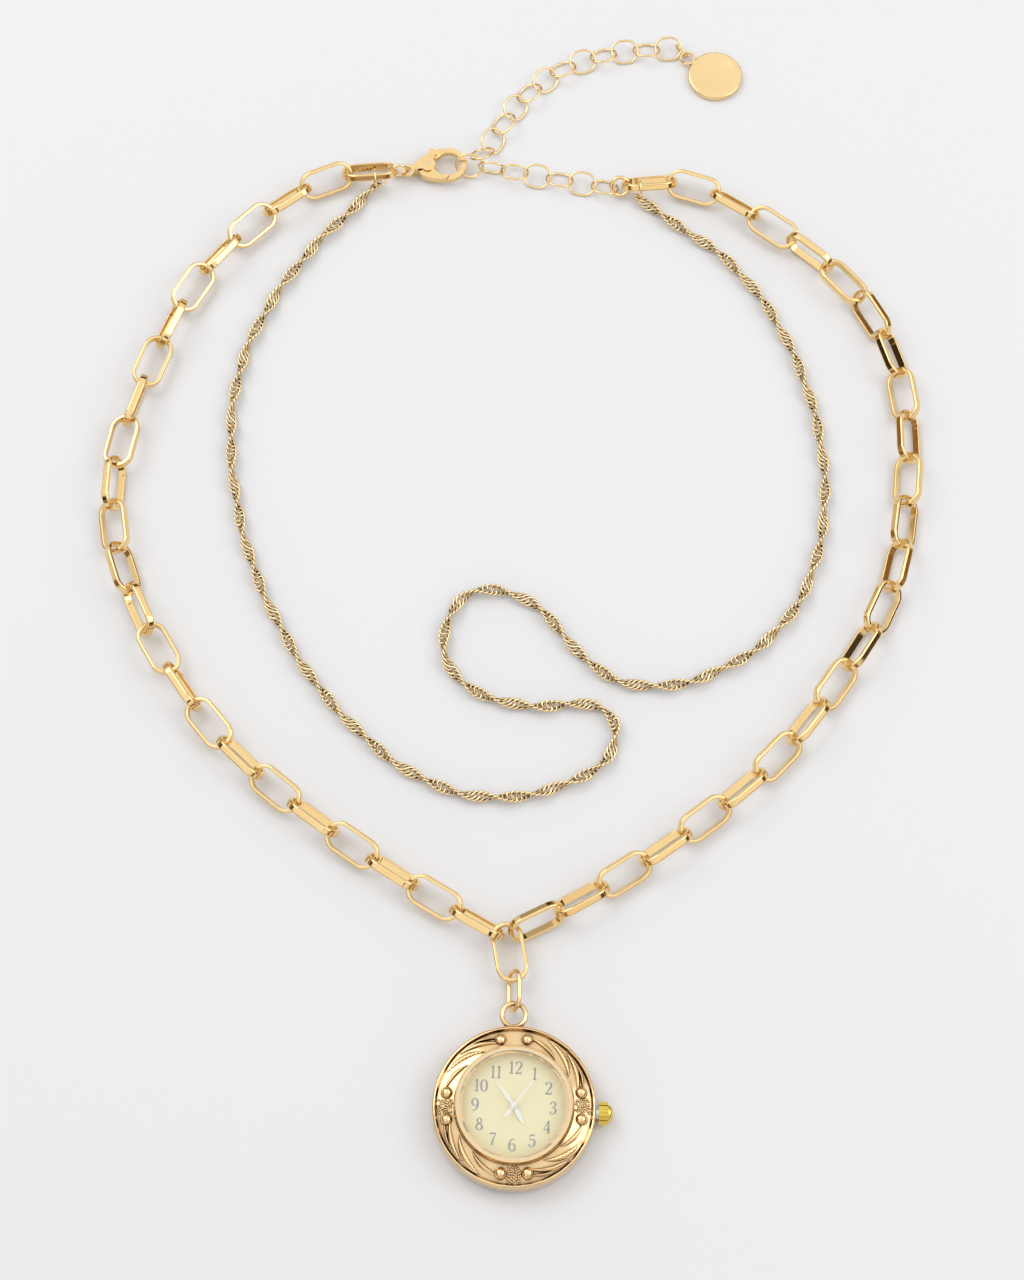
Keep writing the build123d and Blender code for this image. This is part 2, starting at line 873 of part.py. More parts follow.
# Motion work under the dial: minute wheel and hour wheel
with BuildPart() as minute_wheel:
    stud_bottom = plate_top - plate_thickness / 4
    add(cylinder(motion_place, arbor_radius - arbor_play, stud_bottom, dial_bottom - wheel_spacing))
    add(
        toothed_disc(
            motion_place,
            motion_teeth,
            pitch_radius(motion_teeth, cannon_leaves, motion_reach),
            motion_level,
            wheel_thickness,
        )
    )
    add(
        toothed_disc(
            motion_place,
            motion_leaves,
            pitch_radius(motion_leaves, hour_teeth, motion_reach),
            motion_level + wheel_thickness,
            wheel_thickness + wheel_spacing,
        )
    )
minute_wheel.part.label = "minute_wheel"
export_step(minute_wheel.part, "parts/minute_wheel.step")

with BuildPart() as hour_wheel:
    add(
        toothed_disc(
            centre_place,
            hour_teeth,
            pitch_radius(hour_teeth, motion_leaves, motion_reach),
            hour_level,
            wheel_thickness,
        )
    )
    add(cylinder(centre_place, hour_tube_radius, hour_level, hour_hand_bottom))
    with BuildSketch(level(hour_level)):
        Circle(hour_tube_bore)
    extrude(amount=hour_hand_bottom - hour_level, mode=Mode.SUBTRACT)
hour_wheel.part.label = "hour_wheel"
export_step(hour_wheel.part, "parts/hour_wheel.step")

# Dial: an enamelled brass disc with two feet pressed into the plate
with BuildPart() as dial:
    with BuildSketch(level(dial_bottom)):
        Circle(dial_radius)
        Circle(hour_tube_radius + centre_play, mode=Mode.SUBTRACT)
    extrude(amount=dial_thickness)
    with BuildSketch(level(dial_bottom)):
        with Locations(*dial_foot_places):
            Circle(dial_foot_radius)
    extrude(amount=-motion_height - plate_thickness / 2)
dial.part.label = "dial"
export_step(dial.part, "parts/dial.step")

# Hands: stamped strips on hubs, at the time in which the watch was laid down


def hand_plane(height, clock_angle):
    """A plane at a height whose x points where a hand points."""
    return Plane.XY.rotated((0, 0, 90 - clock_angle)).offset(height)


def lance(length, width):
    """Outline of a lance-shaped hand along x."""
    upper = [(along * length, across * width / 2) for along, across in lance_shares]
    lower = [(x, -y) for x, y in reversed(upper)]
    return upper + lower


with BuildPart() as hour_hand:
    with BuildSketch(hand_plane(hour_hand_bottom, hour_hand_angle)):
        Polygon(*lance(hour_hand_length, hour_hand_width), align=None)
        Circle(hour_tube_bore + hub_rim)
        Circle(hour_tube_bore, mode=Mode.SUBTRACT)
    extrude(amount=hand_thickness)
hour_hand.part.label = "hour_hand"
export_step(hour_hand.part, "parts/hour_hand.step")

with BuildPart() as minute_hand:
    with BuildSketch(hand_plane(minute_hand_bottom, minute_hand_angle)):
        Polygon(*lance(minute_hand_length, minute_hand_width), align=None)
        Circle(cannon_radius + hub_rim / 2)
        Circle(centre_arbor_radius + centre_play, mode=Mode.SUBTRACT)
    extrude(amount=hand_thickness)
minute_hand.part.label = "minute_hand"
export_step(minute_hand.part, "parts/minute_hand.step")

with BuildPart() as second_hand:
    with BuildSketch(hand_plane(second_hand_bottom, second_hand_angle)):
        with Locations(((second_hand_length - second_hand_tail) / 2, 0)):
            Rectangle(second_hand_length + second_hand_tail, second_hand_width)
        with Locations((-second_hand_tail * second_hand_pad_place_share, 0)):
            SlotOverall(second_hand_tail * second_hand_pad_share, 2 * second_hand_width)
        Circle(hub_rim)
    extrude(amount=hand_thickness)
second_hand.part.label = "second_hand"
export_step(second_hand.part, "parts/second_hand.step")

# Stem, its setting lever, the crown tube and the crown
tube_end = case_radius + crown_neck
crown_start = tube_end + fit_gap - crown_recess * crown_seat_share
stem_groove_place = stem_block_start + stem_block + stem_block_gap

with BuildPart() as stem:
    with BuildSketch(stem_plane.offset(stem_inner_end)):
        Circle(stem_radius)
    extrude(amount=crown_start + crown_recess + stem_seat - stem_inner_end)
    with BuildSketch(stem_plane.offset(stem_groove_place)):
        Circle(stem_radius + overrun)
        Circle(stem_radius - stem_groove_depth, mode=Mode.SUBTRACT)
    extrude(amount=stem_groove_width, mode=Mode.SUBTRACT)
stem.part.label = "stem"
export_step(stem.part, "parts/stem.step")

lever_thickness = stem_groove_width - 2 * fit_gap
lever_height = works_height - 4 * wheel_spacing

with BuildPart() as setting_lever:
    with BuildSketch(stem_plane.offset(stem_groove_place + fit_gap)):
        with Locations((0, (plate_bottom + works_bottom) / 2 - stem_height)):
            Rectangle(lever_width, lever_height)
    extrude(amount=lever_thickness)
    with BuildSketch(stem_plane.offset(stem_groove_place)):
        Circle(stem_radius - stem_groove_depth + fit_gap)
        with Locations((lever_width / 2, 0)):
            Rectangle(lever_width, 2 * (stem_radius - stem_groove_depth + fit_gap))
    extrude(amount=stem_groove_width, mode=Mode.SUBTRACT)
setting_lever.part.label = "setting_lever"
export_step(setting_lever.part, "parts/setting_lever.step")

with BuildPart() as crown_tube:
    with BuildSketch(stem_plane.offset(case_radius - crown_tube_sink)):
        Circle(crown_tube_radius)
        Circle(stem_radius + fit_gap, mode=Mode.SUBTRACT)
    extrude(amount=tube_end - case_radius + crown_tube_sink)
crown_tube.part.label = "crown_tube"
export_step(crown_tube.part, "parts/crown_tube.step")

crown_radius = crown_diameter / 2

with BuildPart() as crown:
    with BuildSketch(stem_plane.offset(crown_start)):
        Circle(crown_radius)
        with PolarLocations(crown_radius, crown_flutes):
            Circle(crown_flute_radius, mode=Mode.SUBTRACT)
    extrude(amount=crown_grip)
    with BuildSketch(stem_plane.offset(crown_start + crown_grip)):
        Circle(crown_radius - crown_dome_inset)
    extrude(amount=crown_dome)
    crown_end = crown.faces().sort_by(Axis(stem_plane.origin, stem_plane.z_dir))[-1]
    fillet(crown_end.edges(), crown_dome * crown_round_share)
    with BuildSketch(stem_plane.offset(crown_start)):
        Circle(crown_tube_radius + fit_gap + mesh_gap)
    extrude(amount=crown_recess, mode=Mode.SUBTRACT)
    with BuildSketch(stem_plane.offset(crown_start)):
        Circle(stem_radius)
    extrude(amount=crown_recess + stem_seat, mode=Mode.SUBTRACT)
crown.part.label = "crown"
export_step(crown.part, "parts/crown.step")


# Links: a closed oval of round wire, and the paperclip link of flat strip
def stadium_ring(length, width, thickness):
    """A flat oval ring in the current sketch, along x."""
    SlotOverall(length, width)
    SlotOverall(length - 2 * thickness, width - 2 * thickness, mode=Mode.SUBTRACT)


def wire_link(length, width, gauge):
    """A closed link of round wire, flat in XY and long in x."""
    radius = (width - gauge) / 2
    straight = length - width
    with BuildPart() as made:
        with BuildLine():
            lower = Line((-straight / 2, -radius), (straight / 2, -radius))
            front = CenterArc((straight / 2, 0), radius, -90, 180)
            upper = Line(front @ 1, (-straight / 2, radius))
            CenterArc((-straight / 2, 0), radius, 90, 180)
        with BuildSketch(Plane(origin=lower @ 0, z_dir=(1, 0, 0))):
            Circle(gauge / 2)
        sweep()
    return made.part


def rolled_plane(start, end, roll, outer_side):
    """The plane of a link between two joints, its outer side raised by the roll."""
    along = (end - start).normalized()
    outward = along.cross(Vector(0, 0, 1)).normalized() * outer_side
    upward = outward.cross(along) * outer_side
    tilt = math.radians(roll)
    across = outward * math.cos(tilt) + upward * math.sin(tilt)
    return Plane(origin=(start + end) * 0.5, x_dir=along, z_dir=along.cross(across))


def rest_heights(rolls, half_width, half_thickness, lift_share):
    """Heights of rolled links on the table, low ones lifted by their higher neighbours."""
    lows = []
    for roll in rolls:
        tilt = math.radians(roll)
        lows.append(half_width * abs(math.sin(tilt)) + half_thickness * abs(math.cos(tilt)))
    heights = []
    for place, low in enumerate(lows):
        top = max(lows[max(place - 1, 0) : place + 2])
        heights.append(low + lift_share * (top - low))
    return heights


def even_joints(points, count):
    """Joints at even spacing along a smooth route in the plane."""
    route = Edge.make_spline([Vector(x, y) for x, y in points])
    return [
        route.position_at(route.length * step / count, position_mode=PositionMode.LENGTH)
        for step in range(count + 1)
    ]


def sag(radius, half_thickness):
    """How far a strip's edges sit back from the top of a round bow."""
    return radius - math.sqrt(radius**2 - half_thickness**2)


# Ring of the watch and the pendant link above it, one through the other
bail_north = bail_reach + bail_ring_radius
watch_ring_south = bail_north - bail_wire / 2 - bail_slack - watch_ring_wire
watch_ring_north = watch_ring_south + watch_ring_length

with BuildPart() as watch_ring:
    ring_place = rolled_plane(
        Vector(0, watch_ring_south, watch_ring_height),
        Vector(0, watch_ring_north, watch_ring_height),
        watch_ring_roll,
        1,
    )
    with Locations(ring_place):
        add(wire_link(watch_ring_length, watch_ring_width, watch_ring_wire))
watch_ring.part.label = "watch_ring"
export_step(watch_ring.part, "parts/watch_ring.step")

# Routes of the two sides, as shares of the loop, from the clasp down to the pendant link
left_route_shares = [
    (-0.319, 1.0),
    (-0.493, 0.986),
    (-0.670, 0.925),
    (-0.820, 0.838),
    (-0.917, 0.730),
    (-0.985, 0.625),
    (-0.998, 0.516),
    (-0.940, 0.418),
    (-0.835, 0.322),
    (-0.690, 0.228),
    (-0.510, 0.151),
    (-0.300, 0.078),
]
right_route_shares = [
    (0.296, 0.976),
    (0.474, 0.974),
    (0.667, 0.916),
    (0.843, 0.842),
    (0.958, 0.745),
    (0.994, 0.641),
    (0.976, 0.525),
    (0.920, 0.412),
    (0.795, 0.311),
    (0.645, 0.216),
    (0.462, 0.138),
    (0.265, 0.070),
]

bow_inner = link_width / 2 - strip_thickness
nest = sag(bow_inner, strip_height / 2)
half_slack = nest + link_slack / 2

pendant_joint_y = watch_ring_north - watch_ring_wire - pendant_slack
pendant_up = Vector(-math.sin(math.radians(pendant_lean)), math.cos(math.radians(pendant_lean)))


def side_joints(shares, base):
    """Joints of one side: the route from the clasp end to the pendant link's bow."""
    points = [(x * loop_half_width, base.Y + y * loop_height) for x, y in shares]
    return even_joints(points + [(base.X, base.Y)], links_a_side)


# The link's length follows from the spacing that the loop's size gives
pendant_inner = link_width * pendant_inner_share
pendant_bow = Vector(0, pendant_joint_y) + pendant_up * (pendant_inner - bow_inner)
left_hold = polar(bow_inner - left_bow_slack, 90 + pendant_lean + left_bow_angle)
right_hold = polar(bow_inner - right_bow_slack, 90 + pendant_lean - right_bow_angle)
left_base = pendant_bow + Vector(*left_hold)
right_base = pendant_bow + Vector(*right_hold)
left_joints = side_joints(left_route_shares, left_base)
right_joints = side_joints(right_route_shares, right_base)
pitch = max(
    (left_joints[1] - left_joints[0]).length,
    (right_joints[1] - right_joints[0]).length,
)
link_inner = pitch + 2 * half_slack
link_length = link_inner + 2 * strip_thickness

with BuildPart() as chain_link:
    with BuildSketch(Plane.XY.offset(-strip_height / 2)):
        stadium_ring(link_length, link_width, strip_thickness)
    extrude(amount=strip_height)
    flats = chain_link.faces().filter_by(Plane.XY)
    fillet([edge for face in flats for edge in face.outer_wire().edges()], strip_outer_round)
    flats = chain_link.faces().filter_by(Plane.XY)
    inner_rims = [wire for face in flats for wire in face.inner_wires()]
    fillet([edge for rim in inner_rims for edge in rim.edges()], strip_inner_round)


def placed_links(joints, rolls, outer_side, half_width, half_thickness, lift_share):
    """Planes for a run of links, from its joints and rolls."""
    heights = rest_heights(rolls, half_width, half_thickness, lift_share)
    planes = []
    for start, end, roll, height in zip(joints, joints[1:], rolls, heights):
        low = Vector(start.X, start.Y, height)
        high = Vector(end.X, end.Y, height)
        planes.append(rolled_plane(low, high, roll, outer_side))
    return planes


strip_sizes = (link_width / 2, strip_height / 2, link_lift_share)
left_planes = placed_links(left_joints, left_rolls, 1, *strip_sizes)
right_planes = placed_links(right_joints, right_rolls, -1, *strip_sizes)

with BuildPart() as left_chain_links:
    with Locations(*left_planes):
        add(chain_link.part)
left_chain_links.part.label = "left_chain_links"
export_step(left_chain_links.part, "parts/left_chain_links.step")

with BuildPart() as right_chain_links:
    with Locations(*right_planes):
        add(chain_link.part)
right_chain_links.part.label = "right_chain_links"
export_step(right_chain_links.part, "parts/right_chain_links.step")

# Pendant link: one more paperclip link, flat, through which both sides and the watch's ring hang
pendant_middle = pendant_bow - pendant_up * (link_length - link_width) / 2
pendant_plane = Plane(
    origin=(pendant_middle.X, pendant_middle.Y, pendant_height),
    x_dir=(pendant_up.X, pendant_up.Y, 0),
    z_dir=(0, 0, 1),
)

with BuildPart() as pendant_link:
    with Locations(pendant_plane):
        add(chain_link.part)
pendant_link.part.label = "pendant_link"
export_step(pendant_link.part, "parts/pendant_link.step")

# Clasp ring: a jump ring that stands between the first link and the clasp's eye
first_left = left_planes[0]
towards_clasp = first_left.x_dir * -1
ring_inner = clasp_ring_radius - clasp_ring_wire
clasp_ring_place = left_joints[0] + towards_clasp * (half_slack + ring_inner - clasp_ring_slack)

with BuildPart() as clasp_ring:
    with Locations(
        Plane(
            origin=(clasp_ring_place.X, clasp_ring_place.Y, clasp_ring_height),
            x_dir=towards_clasp,
            z_dir=(-towards_clasp.Y, towards_clasp.X, 0),
        )
    ):
        Torus(clasp_ring_radius - clasp_ring_wire / 2, clasp_ring_wire / 2)
clasp_ring.part.label = "clasp_ring"
export_step(clasp_ring.part, "parts/clasp_ring.step")

# Clasp: a cast lobster clasp, its body, its sprung trigger, their pin and the leaf spring
eye_drop = clasp_ring_height - clasp_height + clasp_eye_thickness / 2
eye_reach = math.sqrt(ring_inner**2 - eye_drop**2) + clasp_eye_bore - joint_slack
eye_place = clasp_ring_place + towards_clasp * eye_reach
clasp_plane = Plane(
    origin=(eye_place.X, eye_place.Y, clasp_height),
    x_dir=(*polar(1, clasp_heading), 0),
    z_dir=(0, 0, 1),
)
pivot = (clasp_pivot_reach, clasp_pivot_side)
hook_inner = clasp_hook_radius - clasp_hook_wire
wedge_shares = [
    (0.13, 0.15),
    (0.38, 0.54),
    (0.62, 0.82),
    (0.86, 0.94),
    (0.86, 0.70),
    (0.69, 0.56),
    (0.64, 0.26),
    (0.49, 0.09),
    (0.35, -0.15),
    (0.13, -0.15),
]
gate_shares = [
    (0.24, -0.22),
    (0.31, -0.50),
    (0.50, -0.74),
    (0.72, -0.90),
    (1.05, -1.0),
    (1.05, -0.71),
    (0.77, -0.64),
    (0.60, -0.22),
]


def clasp_points(shares):
    """Points of a clasp outline from shares of the hook's reach and radius."""
    return [(x * clasp_hook_reach, y * clasp_hook_radius) for x, y in shares]


with BuildSketch() as gate_space:
    with Locations(pivot):
        Circle(clasp_gate_radius + clasp_gap)
    with Locations((clasp_pivot_reach, -clasp_gate_radius - clasp_pivot_side)):
        Rectangle(3 * clasp_gate_radius, 2 * clasp_gate_radius, mode=Mode.INTERSECT)

with BuildPart() as clasp_body:
    with BuildSketch(clasp_plane.offset(-clasp_hook_thickness / 2)):
        with Locations((clasp_hook_reach, 0)):
            Circle(clasp_hook_radius)
            Circle(hook_inner, mode=Mode.SUBTRACT)
        add(gate_space.sketch_local, mode=Mode.SUBTRACT)
    extrude(amount=clasp_hook_thickness)
    with BuildSketch(clasp_plane.offset(-clasp_eye_thickness / 2)):
        Circle(clasp_eye_radius)
    extrude(amount=clasp_eye_thickness)
    with BuildSketch(clasp_plane.offset(-clasp_thickness / 2)):
        Polygon(*clasp_points(wedge_shares), align=None)
        with Locations(pivot):
            Circle(clasp_hub_radius)
    extrude(amount=clasp_thickness)
    with BuildSketch(clasp_plane.offset(-clasp_slot / 2)):
        with Locations(((clasp_slot_start + clasp_slot_end) / 2, 0)):
            Rectangle(clasp_slot_end - clasp_slot_start, 3 * clasp_hook_radius)
    extrude(amount=clasp_slot, mode=Mode.SUBTRACT)
    with BuildSketch(clasp_plane.offset(-clasp_thickness)):
        Circle(clasp_eye_bore)
        with Locations(pivot):
            Circle(clasp_pin_radius)
    extrude(amount=2 * clasp_thickness, mode=Mode.SUBTRACT)
clasp_body.part.label = "clasp_body"
export_step(clasp_body.part, "parts/clasp_body.step")

with BuildPart() as clasp_trigger:
    with BuildSketch(clasp_plane.offset(-clasp_gate_thickness / 2)):
        Polygon(*clasp_points(gate_shares), align=None)
        with Locations(pivot):
            Circle(clasp_gate_radius, mode=Mode.INTERSECT)
            Circle(clasp_hub_radius + clasp_gap, mode=Mode.SUBTRACT)
    extrude(amount=clasp_gate_thickness)
    with BuildSketch(clasp_plane.offset(-clasp_lever_thickness / 2)):
        with Locations(pivot):
            Circle(clasp_lever_radius)
        with Locations(Location(pivot, clasp_nub_angle)):
            with Locations((clasp_nub_length / 2, 0)):
                Rectangle(clasp_nub_length, clasp_nub_width)
        with Locations(Location(pivot, clasp_arm_angle)):
            with Locations((clasp_arm_length / 2, 0)):
                Rectangle(clasp_arm_length, clasp_nub_width)
    extrude(amount=clasp_lever_thickness)
    with BuildSketch(clasp_plane.offset(-clasp_thickness)):
        with Locations(pivot):
            Circle(clasp_pin_radius + clasp_pin_play)
    extrude(amount=2 * clasp_thickness, mode=Mode.SUBTRACT)
clasp_trigger.part.label = "clasp_trigger"
export_step(clasp_trigger.part, "parts/clasp_trigger.step")

with BuildPart() as clasp_pin:
    with BuildSketch(clasp_plane.offset(-clasp_thickness / 2)):
        with Locations(pivot):
            Circle(clasp_pin_radius)
    extrude(amount=clasp_thickness)
clasp_pin.part.label = "clasp_pin"
export_step(clasp_pin.part, "parts/clasp_pin.step")

with BuildPart() as clasp_spring:
    with BuildSketch(clasp_plane.offset(-clasp_lever_thickness / 2)):
        with Locations((clasp_slot_start + clasp_spring_thickness / 2, clasp_pivot_side)):
            Rectangle(clasp_spring_thickness, clasp_spring_length)
    extrude(amount=clasp_lever_thickness)
clasp_spring.part.label = "clasp_spring"
export_step(clasp_spring.part, "parts/clasp_spring.step")

# Extender: thin wire links from the hook to the right side's ring, and a free tail
first_right = right_planes[0]
towards_extender = first_right.x_dir * -1
extender_ring_inner = extender_ring_radius - extender_ring_wire
extender_ring_place = right_joints[0] + towards_extender * (extender_ring_inner - joint_slack / 2)
hook_middle = Vector(*clasp_plane.from_local_coords((clasp_hook_reach, 0, 0)))
hook_reach = Vector(hook_inner - hook_slack, 0)
extender_start = Vector(hook_middle.X, hook_middle.Y) + hook_reach
ring_bend = polar(extender_ring_inner - extender_ring_slack, 180 + extender_ring_bend)
extender_end = extender_ring_place + Vector(*ring_bend)
extender_chord = extender_end - extender_start
extender_middle = extender_start + extender_chord * 0.5
extender_rise = extender_chord.length * extender_rise_share / 4
extender_bow = Vector(extender_middle.X, extender_middle.Y + extender_rise)
extender_route = [(point.X, point.Y) for point in (extender_start, extender_bow, extender_end)]
extender_count = max(2, round(extender_chord.length / extender_spacing))
extender_joints = even_joints(extender_route, extender_count)
extender_pitch = (extender_joints[1] - extender_joints[0]).length
extender_length = extender_pitch + extender_slack + 2 * wire
wire_sizes = (extender_width / 2, wire / 2, extender_lift_share)
rolls_in_turn = [extender_rolls[i % len(extender_rolls)] for i in range(extender_count)]
extender_planes = placed_links(extender_joints, rolls_in_turn, -1, *wire_sizes)
extender_link = wire_link(extender_length, extender_width, wire)

with BuildPart() as extender_links:
    with Locations(*extender_planes):
        add(extender_link)
extender_links.part.label = "extender_links"
export_step(extender_links.part, "parts/extender_links.step")


def round_ring(middle, along, roll, outer_side, radius, gauge):
    """A closed round ring whose plane holds the given direction, rolled about it."""
    plane = rolled_plane(middle - along * 0.5, middle + along * 0.5, roll, outer_side)
    with BuildPart() as made:
        with Locations(plane):
            Torus(radius - gauge / 2, gauge / 2)
    return made.part


with BuildPart() as extender_ring:
    add(
        round_ring(
            Vector(extender_ring_place.X, extender_ring_place.Y, extender_ring_height),
            towards_extender * -1,
            extender_ring_roll,
            -1,
            extender_ring_radius,
            extender_ring_wire,
        )
    )
extender_ring.part.label = "extender_ring"
export_step(extender_ring.part, "parts/extender_ring.step")

# Tail: the links beyond the hooked one, each a piece that swings on the one before
hooked = extender_planes[0]
hooked_bow = extender_length / 2 - extender_width / 2
hooked_radius = extender_width / 2 - wire - extender_slack / 2
bow_x, bow_y = polar(hooked_radius, tail_bow_angle)
tail_start = hooked.from_local_coords((hooked_bow + bow_x, bow_y, 0))
tail_rest = extender_width / 2 * math.sin(math.radians(abs(tail_rolls[1]))) + wire / 2
tail_pitch = extender_pitch - tail_slack
tail_joints = [Vector(tail_start.X, tail_start.Y, tail_start.Z)]
for place, heading in enumerate(tail_headings):
    before = tail_joints[-1]
    drop = before.Z - tail_rest
    run = math.sqrt(tail_pitch**2 - drop**2)
    step = Vector(*polar(run, heading), -drop)
    tail_joints.append(before + step)

tail_planes = [
    rolled_plane(start, end, roll, -1)
    for start, end, roll in zip(tail_joints, tail_joints[1:], tail_rolls)
]
for number, plane in enumerate(tail_planes):
    with BuildPart() as tail_link:
        with Locations(plane):
            add(extender_link)
    name = f"tail_link_{number + 1:02d}"
    tail_link.part.label = name
    export_step(tail_link.part, f"parts/{name}.step")

# End tag: a dished disc with its own lug, and the small ring that joins it to the tail
bow_x, bow_y = polar(hooked_radius - tag_ring_slack, tag_bow_angle)
tail_end = tail_planes[-1].from_local_coords((hooked_bow + bow_x, bow_y, 0))
tail_end = Vector(tail_end.X, tail_end.Y)
tag_along = Vector(*polar(1, tag_ring_heading))
tag_ring_inner = tag_ring_radius - tag_ring_wire
tag_ring_place = tail_end + tag_along * (tag_ring_inner - tag_ring_slack)
tag_ring_place = Vector(tag_ring_place.X, tag_ring_place.Y, tag_ring_height)
lug_drop = (tag_ring_height - tag_thickness + tag_lug_wire) / math.sin(math.radians(tag_ring_roll))
lug_chord = math.sqrt(tag_ring_inner**2 - lug_drop**2)
lug_place = tag_ring_place + tag_along * (lug_chord - tag_lug_slack + tag_lug_radius - tag_lug_wire)
tag_reach = tag_diameter / 2 + tag_lug_radius - tag_lug_wire / 2
tag_place = lug_place + Vector(*polar(tag_reach, tag_heading))

with BuildPart() as tag_ring:
    add(round_ring(tag_ring_place, tag_along, tag_ring_roll, 1, tag_ring_radius, tag_ring_wire))
tag_ring.part.label = "tag_ring"
export_step(tag_ring.part, "parts/tag_ring.step")

dish_across = tag_diameter * tag_dish_share
dish_radius = (dish_across**2 / 4 + tag_dish**2) / (2 * tag_dish)

with BuildPart() as end_tag:
    with BuildSketch(Plane.XY):
        with Locations((tag_place.X, tag_place.Y)):
            Circle(tag_diameter / 2)
    extrude(amount=tag_thickness)
    fillet(end_tag.edges(), tag_edge_round)
    with BuildSketch(Plane.XY.offset(tag_thickness - tag_lug_wire)):
        with Locations((lug_place.X, lug_place.Y)):
            Circle(tag_lug_radius)
    extrude(amount=tag_lug_wire)
    with BuildSketch(Plane.XY):
        with Locations((lug_place.X, lug_place.Y)):
            Circle(tag_lug_radius - tag_lug_wire)
    extrude(amount=tag_thickness, mode=Mode.SUBTRACT)
    with Locations((tag_place.X, tag_place.Y, tag_thickness - tag_dish + dish_radius)):
        Sphere(dish_radius, mode=Mode.SUBTRACT)
end_tag.part.label = "end_tag"
export_step(end_tag.part, "parts/end_tag.step")


# Twist rings: round the inner strip of the first link on each side, where the fine chain ends
def strip_point(plane, share):
    """The middle of a link's inner strip, a share of its straight run from the clasp end."""
    straight = link_length - link_width
    across = link_width / 2 - strip_thickness / 2
    return plane.from_local_coords((straight * (share - 0.5), -across * twist_side(plane), 0))


def twist_side(plane):
    """The sign of the link's own y that points outwards from the loop."""
    return 1 if plane.y_dir.Y > 0 else -1


def twist_ring_part(plane, share):
    """A round ring that hangs on a strip, its axis along the link."""
    seat = strip_point(plane, share)
    centre = Vector(seat.X, seat.Y, seat.Z - twist_ring_hang)
    with BuildPart() as made:
        with Locations(Plane(origin=centre, z_dir=plane.x_dir)):
            Torus(twist_ring_radius - twist_ring_wire / 2, twist_ring_wire / 2)
    return made.part


with BuildPart() as left_twist_ring:
    add(twist_ring_part(left_planes[0], left_twist_share))
left_twist_ring.part.label = "left_twist_ring"
export_step(left_twist_ring.part, "parts/left_twist_ring.step")

with BuildPart() as right_twist_ring:
    add(twist_ring_part(right_planes[0], right_twist_share))
right_twist_ring.part.label = "right_twist_ring"
export_step(right_twist_ring.part, "parts/right_twist_ring.step")

# Twisted chain: the fine limp chain of the inner layer, laid down in an open S
twisted_route_shares = [
    (-0.3538, 1.1853),
    (-0.4150, 1.1496),
    (-0.5195, 1.0957),
    (-0.6170, 1.0243),
    (-0.6908, 0.9447),
    (-0.7187, 0.8578),
    (-0.7047, 0.7655),
    (-0.6588, 0.6705),
    (-0.5850, 0.5876),
    (-0.4903, 0.5094),
    (-0.3760, 0.4461),
    (-0.2563, 0.3962),
    (-0.1309, 0.3699),
    (-0.0223, 0.3639),
    (0.0836, 0.3747),
    (0.1699, 0.3908),
    (0.2368, 0.4178),
    (0.2535, 0.4528),
    (0.2145, 0.4784),
    (0.1421, 0.4845),
    (0.0585, 0.4757),
    (-0.0279, 0.4852),
    (-0.1058, 0.4987),
    (-0.1616, 0.5270),
    (-0.1755, 0.5674),
    (-0.1518, 0.6065),
    (-0.0919, 0.6280),
    (-0.0167, 0.6267),
    (0.0529, 0.6085),
    (0.1114, 0.5782),
    (0.1671, 0.5391),
    (0.2507, 0.5094),
    (0.3565, 0.5013),
    (0.4680, 0.5148),
    (0.5766, 0.5431),
    (0.6741, 0.5863),
    (0.7409, 0.6456),
    (0.7799, 0.7264),
    (0.7799, 0.8154),
    (0.7437, 0.9057),
    (0.6741, 0.9933),
    (0.5710, 1.0687),
    (0.4596, 1.1132),
    (0.3705, 1.1429),
    (0.3245, 1.1658),
]
twisted_height = twisted_diameter / 2
route_points = [
    Vector(x * loop_half_width, y * loop_height, twisted_height) for x, y in twisted_route_shares
]
runs = [end - start for start, end in zip(route_points, route_points[1:])]
bend_radii = []
for before, after in zip(runs, runs[1:]):
    turn = math.radians(before.get_angle(after))
    bend_radii.append(bend_share * min(before.length, after.length) / math.tan(turn / 2))
print("bend radii", [round(radius, 1) for radius in bend_radii])

with BuildPart() as twisted_chain:
    with BuildLine() as twisted_path:
        FilletPolyline(*route_points, radius=bend_radii)
    path_start = twisted_path.wires()[0]
    with BuildSketch(Plane(origin=path_start @ 0, z_dir=path_start % 0)):
        Circle(twisted_diameter / 2)
    sweep(path=path_start)
twisted_chain.part.label = "twisted_chain"
export_step(twisted_chain.part, "parts/twisted_chain.step")
section = math.pi * (twisted_diameter / 2) ** 2
print("twisted chain length", path_start.length)
rod_volume = section * path_start.length
print("twisted chain volume", twisted_chain.part.volume, "and as a rod", rod_volume)
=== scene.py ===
import math

import bpy
from mathutils import Matrix, Vector


